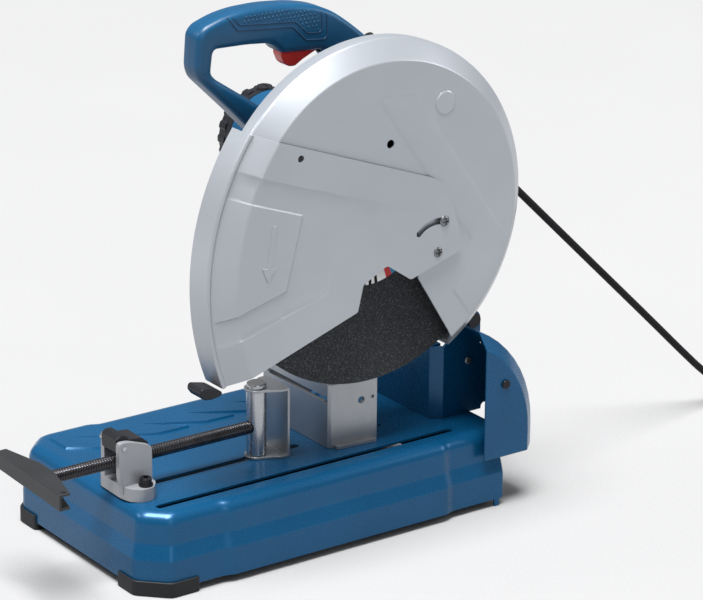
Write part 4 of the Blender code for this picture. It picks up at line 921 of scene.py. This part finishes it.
def make_screws():
    """The screws on the front guard and the tower, and the bracket's two bolts."""
    cross_screw("limit_screw_surface", ("limit_screw",), LIMIT_SCREW, 123.9, 3.4, 6.0, "head")
    cross_screw("cover_screw_surface", ("cover_pivot_screw",), COVER_PIVOT, 123.9, 3.4, 6.0, "head")
    cross_screw("tower_screw", (), TOWER_SCREW, 65.9, 2.4, 4.6, "stand")
    for side, radius in (("right", 7.5), ("left", 5.6)):
        socket_bolt("bracket_bolt_" + side, (*BRACKET_BOLTS[side], 0), radius)


# ------------------------ vise


def threaded_rod(middle, low, high, radius, pitch, depth):
    """A rod along Y with a helical thread that runs out at both ends."""
    bm = bmesh.new()
    count, steps = int((high - low) / (pitch / 5)), 36
    rings = []
    for k in range(count + 1):
        y = low + (high - low) * k / count
        ring = []
        for i in range(steps):
            angle = 2 * math.pi * i / steps
            crest = abs(2 * ((y / pitch + i / steps) % 1.0) - 1)
            end = min(1.0, (y - low) / pitch, (high - y) / pitch)
            reach = radius - depth * (1 - min(1.0, crest * 1.35)) - (1 - max(0.0, end)) * depth
            x, z = middle[0] + reach * math.cos(angle), middle[2] + reach * math.sin(angle)
            ring.append(bm.verts.new((x, y, z)))
        rings.append(ring)
    return skin(bm, rings)


def make_spindle(middle):
    """The threaded spindle and the rivet that holds the crank on its end."""
    bm = threaded_rod(middle, CRANK_Y + 24.6, JAW_Y - 8.4, 7.0, 3.0, 1.1)
    merge(bm, rod("Y", middle, CRANK_Y + 2.8, CRANK_Y + 25.0, 3.2, 24))
    finished(solid("vise_spindle_surface", bm), "thread_steel", "screw", ("vise_spindle",), angle=15)
    tilt = Matrix.Rotation(math.radians(2.0), 3, "Y")
    spot = Vector(middle) + tilt @ Vector((58.0, CRANK_Y + 7.0, 11.3))
    rivet = turned([(-1.0, 0), (-1.0, 2.6), (0.2, 2.6), (0.7, 1.6), (0.8, 0)], "Z", (0, 0, 0), 20)
    bmesh.ops.transform(rivet, matrix=Matrix.Translation(spot) @ tilt.to_4x4(), verts=rivet.verts)
    finished(solid("crank_rivet", rivet), "black_steel", "screw", angle=40)


def make_jaw_pivot(middle):
    """The upright tube that the spindle pushes, and the pin through it that carries the jaw."""
    low, high, centre = BASE_TOP + 3.3, 160.0, (SPINDLE_X, JAW_Y, 0.0)
    bore, wall, edge = 8.0, 10.6, 0.4
    loop = [(low, bore), (low, wall - edge), (low + edge, wall), (high - edge, wall)]
    loop += [(high, wall - edge), (high, bore)]
    boss = solid("jaw_tube_surface", turned(loop, "Z", centre, 64, closed=True))
    carve(boss, rod("Y", middle, -70.0, JAW_Y, 7.3, 32))
    finished(boss, "steel", "jaw_carrier", ("jaw_tube",), angle=35)
    pin = [(76.5, 0), (76.5, 3.6), (88.6, 3.6), (88.6, 7.7), (163.3, 7.7), (163.3, 10.3)]
    pin += [(163.6, 10.5), (166.6, 10.5), (167.9, 9.9), (168.4, 8.8), (168.4, 0)]
    pin = solid("jaw_pin_surface", turned(pin, "Z", centre, 56))
    finished(pin, "steel", "jaw_carrier", ("jaw_pin",), angle=35)


def make_vise():
    """The vise's own shapes; its plates and lever are the frame's."""
    middle = (SPINDLE_X, 0.0, SPINDLE_Z)
    make_spindle(middle)
    make_jaw_pivot(middle)
    start = LEVER_PIN[0]
    end = turned([(start, 0), (start, 2.4), (start + 0.6, 2.2), (start + 0.7, 0)], "X", LEVER_PIN, 20)
    finished(solid("lever_pin_end", end), "black_steel", "stand", angle=40)


# ------------------------ handle and motor


# The handle seen from the right, as (y, z)
HANDLE_OUTER = [(-5, 402), (-40, 437), (-64, 462), (-105, 502), (-108.5, 513), (-106, 547), (-99, 555)]
HANDLE_OUTER += [(-79, 562), (-57, 565.7), (-24, 566.5), (12, 563.5), (37, 558), (56, 550), (75, 537)]
HANDLE_OUTER += [(96, 520), (108, 508), (108, 480), (96, 430), (45, 396)]
HANDLE_HOLE = [(-87.5, 531), (-90.5, 507), (-84.5, 500), (-22, 458), (2, 452), (30, 456), (62, 464)]
HANDLE_HOLE += [(66, 482), (50, 505), (43, 512), (-6, 515), (-14, 524), (-21, 527.5), (-48, 530)]
HANDLE_MIDDLE, HANDLE_SEAM = 30.0, 0.15
# The handle's groove lines as (y, z), keyed by the radius of the dark tube laid along each; the tubes' darker blue
# is painted groove shade
GROOVES = {
    0.75: [(-72, 561.5), (-61, 547.7), (4.8, 541.8), (21.6, 525.6), (44, 523.2), (47.5, 527), (46.5, 549)],
    0.6: [(-66, 561), (-58, 552.5), (7.8, 546.5), (23.1, 532.6), (37.5, 531), (41, 534), (40, 552)],
}
GRIP_PANEL = GROOVES[0.6] + [(20, 560.5), (-24, 564)]


def handle_whole():
    """The handle's body with its loop, and room for the motor, the switch and the gland."""
    limits = (HANDLE_MIDDLE - 15.0, HANDLE_MIDDLE + 15.0)
    whole = solid("handle", prism(rounded(HANDLE_OUTER, 10.0, 4), "X", *limits))
    carve(whole, prism(rounded(HANDLE_HOLE, 6.0, 4), "X", 0.0, 60.0))
    bevel(whole, 6.5, 5, 50.0, clamp=False)
    apply_modifiers(whole)
    carve(whole, rod("X", MOTOR, 0.0, 60.0, 53.6, 64))
    carve(whole, block((21.0, 39.0), (-5.0, 62.0), (505.0, 545.0)))
    carve(whole, sleeve([(-0.3, 8.8), (30.0, 8.8)], GLAND_START, GLAND_AXIS, 24))
    return whole


def dense_line(line, spacing):
    """A line's points with more between them, no further apart than about the spacing."""
    points = []
    for a, b in zip(line, line[1:]):
        a, b = Vector(a), Vector(b)
        count = max(2, int((b - a).length / spacing))
        points += [a.lerp(b, k / count) for k in range(count)]
    return points + [Vector(line[-1])]


def grip_marks(half, side):
    """Thin dark blue tubes along each groove line round the grip panel, which paint the groove's shade, and rows
    of small bumps in it, laid on the handle's flank.
    """
    bm = bmesh.new()
    bm.from_mesh(half.data)
    tree = BVHTree.FromBMesh(bm)
    bm.free()

    def flank(y, z):
        start = place((100.0 * side + HANDLE_MIDDLE, y, z))
        hit = tree.ray_cast(start, Vector((-side, 0.0, 0.0)))[0]
        return None if hit is None else hit * 1000 - SHIFT

    # Dark blue tubes along each groove line: painted shade in each groove
    groove_shade_lines = bmesh.new()
    for radius, line in GROOVES.items():
        path = [flank(point.x, point.y) for point in dense_line(line, 2.0)]
        merge(groove_shade_lines, tube_along([point for point in path if point is not None], radius))
    dots = bmesh.new()
    for row in range(9):
        for column in range(23):
            y, z = -62.0 + column * 4.8 + (row % 2) * 2.4, 530.0 + row * 4.2
            spot = flank(y, z)
            if spot is None or inside_distance(Vector((y, z)), GRIP_PANEL) < 2.6:
                continue
            bump = bmesh.new()
            bmesh.ops.create_uvsphere(bump, u_segments=10, v_segments=6, radius=1.15)
            bmesh.ops.translate(bump, vec=spot - Vector((side * 0.4, 0, 0)), verts=bump.verts)
            merge(dots, bump)
    return groove_shade_lines, dots


def tube_along(path, radius):
    """A thin closed tube along 3-D points."""
    bm = bmesh.new()
    rings, steps = [], 8
    for i, point in enumerate(path):
        along = (path[min(i + 1, len(path) - 1)] - path[max(i - 1, 0)]).normalized()
        side = along.cross(Vector((1, 0, 0))).normalized()
        up = side.cross(along)
        turn = 2 * math.pi / steps
        offsets = [(side * math.cos(turn * k) + up * math.sin(turn * k)) * radius for k in range(steps)]
        rings.append([bm.verts.new(point + offset) for offset in offsets])
    return skin(bm, rings)


def make_handle():
    """The handle's two shells, with dark tubes along the groove lines as painted groove shade, and bumps on each.
    """
    whole = handle_whole()
    left, right = HANDLE_MIDDLE - HANDLE_SEAM, HANDLE_MIDDLE + HANDLE_SEAM
    for name, limits, side in (("handle_left", (0.0, left), -1), ("handle_right", (right, 60.0), 1)):
        half = whole.copy()
        half.data = whole.data.copy()
        half.name = name + "_surface"
        bpy.context.scene.collection.objects.link(half)
        carve(half, block(limits, (-200.0, 200.0), (300.0, 700.0)), "INTERSECT")
        finished(half, "blue_plastic", "head", (name,), angle=28)
        groove_shade_lines, dots = grip_marks(half, side)
        # The groove tubes take the darker blue of painted groove shade; the bumps take the handle's own plastic
        for part, marks, look in (("_groove_shade", groove_shade_lines, "groove_shade_blue"), ("_bumps", dots, "blue_plastic")):
            finished(solid(name + part, marks), look, "head", angle=60)
    bpy.data.objects.remove(whole)


def make_motor():
    """The ribbed end cap and the brush cap."""

    def ribs(radius, angle):
        wave = math.cos(angle * 20)
        return radius - (1.8 if wave < 0 else 0.0) if radius > 46.6 else radius

    end = -87.0
    outer = [(end, 11.3), (end, 38.0), (end + 1.5, 41.0), (end + 6, 48.0), (end + 8, 49.6)]
    outer += [(end + 20, 50.0), (end + 20.6, 46.6), (end + 23.0, 46.6)]
    inner = [(end + 23.0, 45.0), (end + 8, 45.0), (end + 3.5, 38.0), (end + 3.5, 14.5)]
    inner += [(end + 12, 14.5), (end + 12, 11.3)]
    cap = solid("motor_end_cap_surface", turned(outer + inner, "X", MOTOR, 120, closed=True, bend=ribs))
    low, high = end + 22.0, end + 30.0
    collar = [(low, 44.0), (low, 49.2), (low + 1.0, 50.0), (high, 50.0), (high, 44.0)]
    carve(cap, turned(collar, "X", MOTOR, 120, closed=True), "UNION")
    finished(cap, "black_plastic", "head", ("motor_end_cap",), angle=30)
    x, z = end + 22, MOTOR.z + 50.0
    dome = [(z - 6, 0), (z - 6, 9.0), (z + 1.0, 9.0), (z + 2.8, 7.8), (z + 3.4, 6.2), (z + 3.5, 0)]
    brush = solid("brush_cap_surface", turned(dome, "Z", (x, MOTOR.y, 0), 32))
    carve(brush, block((x - 6, x + 6), (MOTOR.y - 0.8, MOTOR.y + 0.8), (z + 2.2, z + 5)))
    finished(brush, "black_plastic", "head", ("brush_cap",), angle=35)


# ------------------------ everything else


# How far the edges of the frame's own shapes are broken, and which of them are rounder
REFINED = {
    "crank_bar": 0.7,
    "jaw_plate": 0.8,
    "vise_bracket": 1.4,
    "quick_release_lever": 1.0,
    "fence": 0.9,
    "motor_housing": 0.6,
    "spark_hood": 0.8,
    "foot_front_left": 1.6,
    "foot_front_right": 1.6,
    "arm_casting": 1.8,
    "gear_cover": 1.2,
    "trigger": 1.2,
    "lift_lug": 1.6,
    "hood_screw": 0.6,
    "pivot_shaft": 0.6,
    "lock_button": 0.7,
    "spindle_lock_button": 0.7,
    "wheel_bolt": 0.8,
    "outer_flange": 0.5,
    "inner_flange": 0.5,
    "fence_bolt_left": 0.6,
    "fence_bolt_right": 0.6,
    "depth_stop_bolt": 0.5,
}
ROUNDER = ("crank_bar", "jaw_plate", "vise_bracket", "quick_release_lever", "fence")


def dress_frame():
    """Better surfaces for the frame's own nodes."""
    for name, node in frame["nodes"].items():
        for slot in node.material_slots:
            slot.material = FINISH[SLOTS[name]]


def make_tower():
    """The hinge tower, with the corner behind each ear cut down to the hood's edge."""
    behind = [(235.5, 210.0), (235.5, 163.0), (255.0, 150.0), (262.0, 150.0), (262.0, 210.0)]
    carve(refined("tower", 1.1, 2), prism(behind, "X", -80.0, 80.0))


def add_stage():
    """A plain floor just under the saw."""
    bm = bmesh.new()
    bmesh.ops.create_grid(bm, x_segments=8, y_segments=8, size=6.0)
    mesh = bpy.data.meshes.new("floor")
    bm.to_mesh(mesh)
    bm.free()
    mesh.materials.append(FINISH["floor"])
    floor = bpy.data.objects.new("floor", mesh)
    floor.location.z = -0.0004
    bpy.context.scene.collection.objects.link(floor)


# Each soft box's place, aim, size and power
SOFT_BOXES = {
    "key": ((-1.3, -1.9, 2.0), (0, 0, 0.3), (0.9, 0.9), 16),
    "fill": ((2.6, -0.7, 1.4), (0, 0, 0.4), (0.8, 1.8), 8),
    "back": ((1.2, 2.4, 1.5), (0, 0, 0.35), (1.4, 1.0), 16),
}
SUN_POWER, SUN_WIDTH, SUN_DIRECTION = 8.6, math.radians(32), Vector((-0.1, 0.16, -1.0))
SKY_POWER = 0.26


def add_light(data, direction, location=(0.0, 0.0, 0.0)):
    """Puts a light in the scene that shines along a direction."""
    light = bpy.data.objects.new(data.name, data)
    light.location = location
    light.rotation_euler = direction.to_track_quat("-Z", "Y").to_euler()
    bpy.context.scene.collection.objects.link(light)


def add_lights():
    """A wide soft light from above, and weaker soft boxes in front, on the right and behind."""
    world = bpy.data.worlds.new("studio")
    bpy.context.scene.world = world
    world.use_nodes = True
    background = world.node_tree.nodes["Background"]
    background.inputs["Color"].default_value = (1.0, 1.0, 1.0, 1.0)
    background.inputs["Strength"].default_value = SKY_POWER
    sun = bpy.data.lights.new("overhead", "SUN")
    sun.energy, sun.angle = SUN_POWER, SUN_WIDTH
    add_light(sun, SUN_DIRECTION)
    for name, (location, aim, size, power) in SOFT_BOXES.items():
        data = bpy.data.lights.new(name, "AREA")
        data.shape = "RECTANGLE"
        data.size, data.size_y = size
        data.energy = power
        add_light(data, Vector(aim) - Vector(location), location)
    bpy.context.scene.view_settings.view_transform = "Standard"


# ------------------------ the whole saw


add_camera()
make_cord()
dress_frame()
make_base()
make_fixed_guard()
make_front_guard()
make_wheel()
make_screws()
make_vise()
make_handle()
make_motor()
for part, edge in REFINED.items():
    refined(part, edge, 3 if part in ROUNDER else 2)
make_tower()
add_stage()
add_lights()
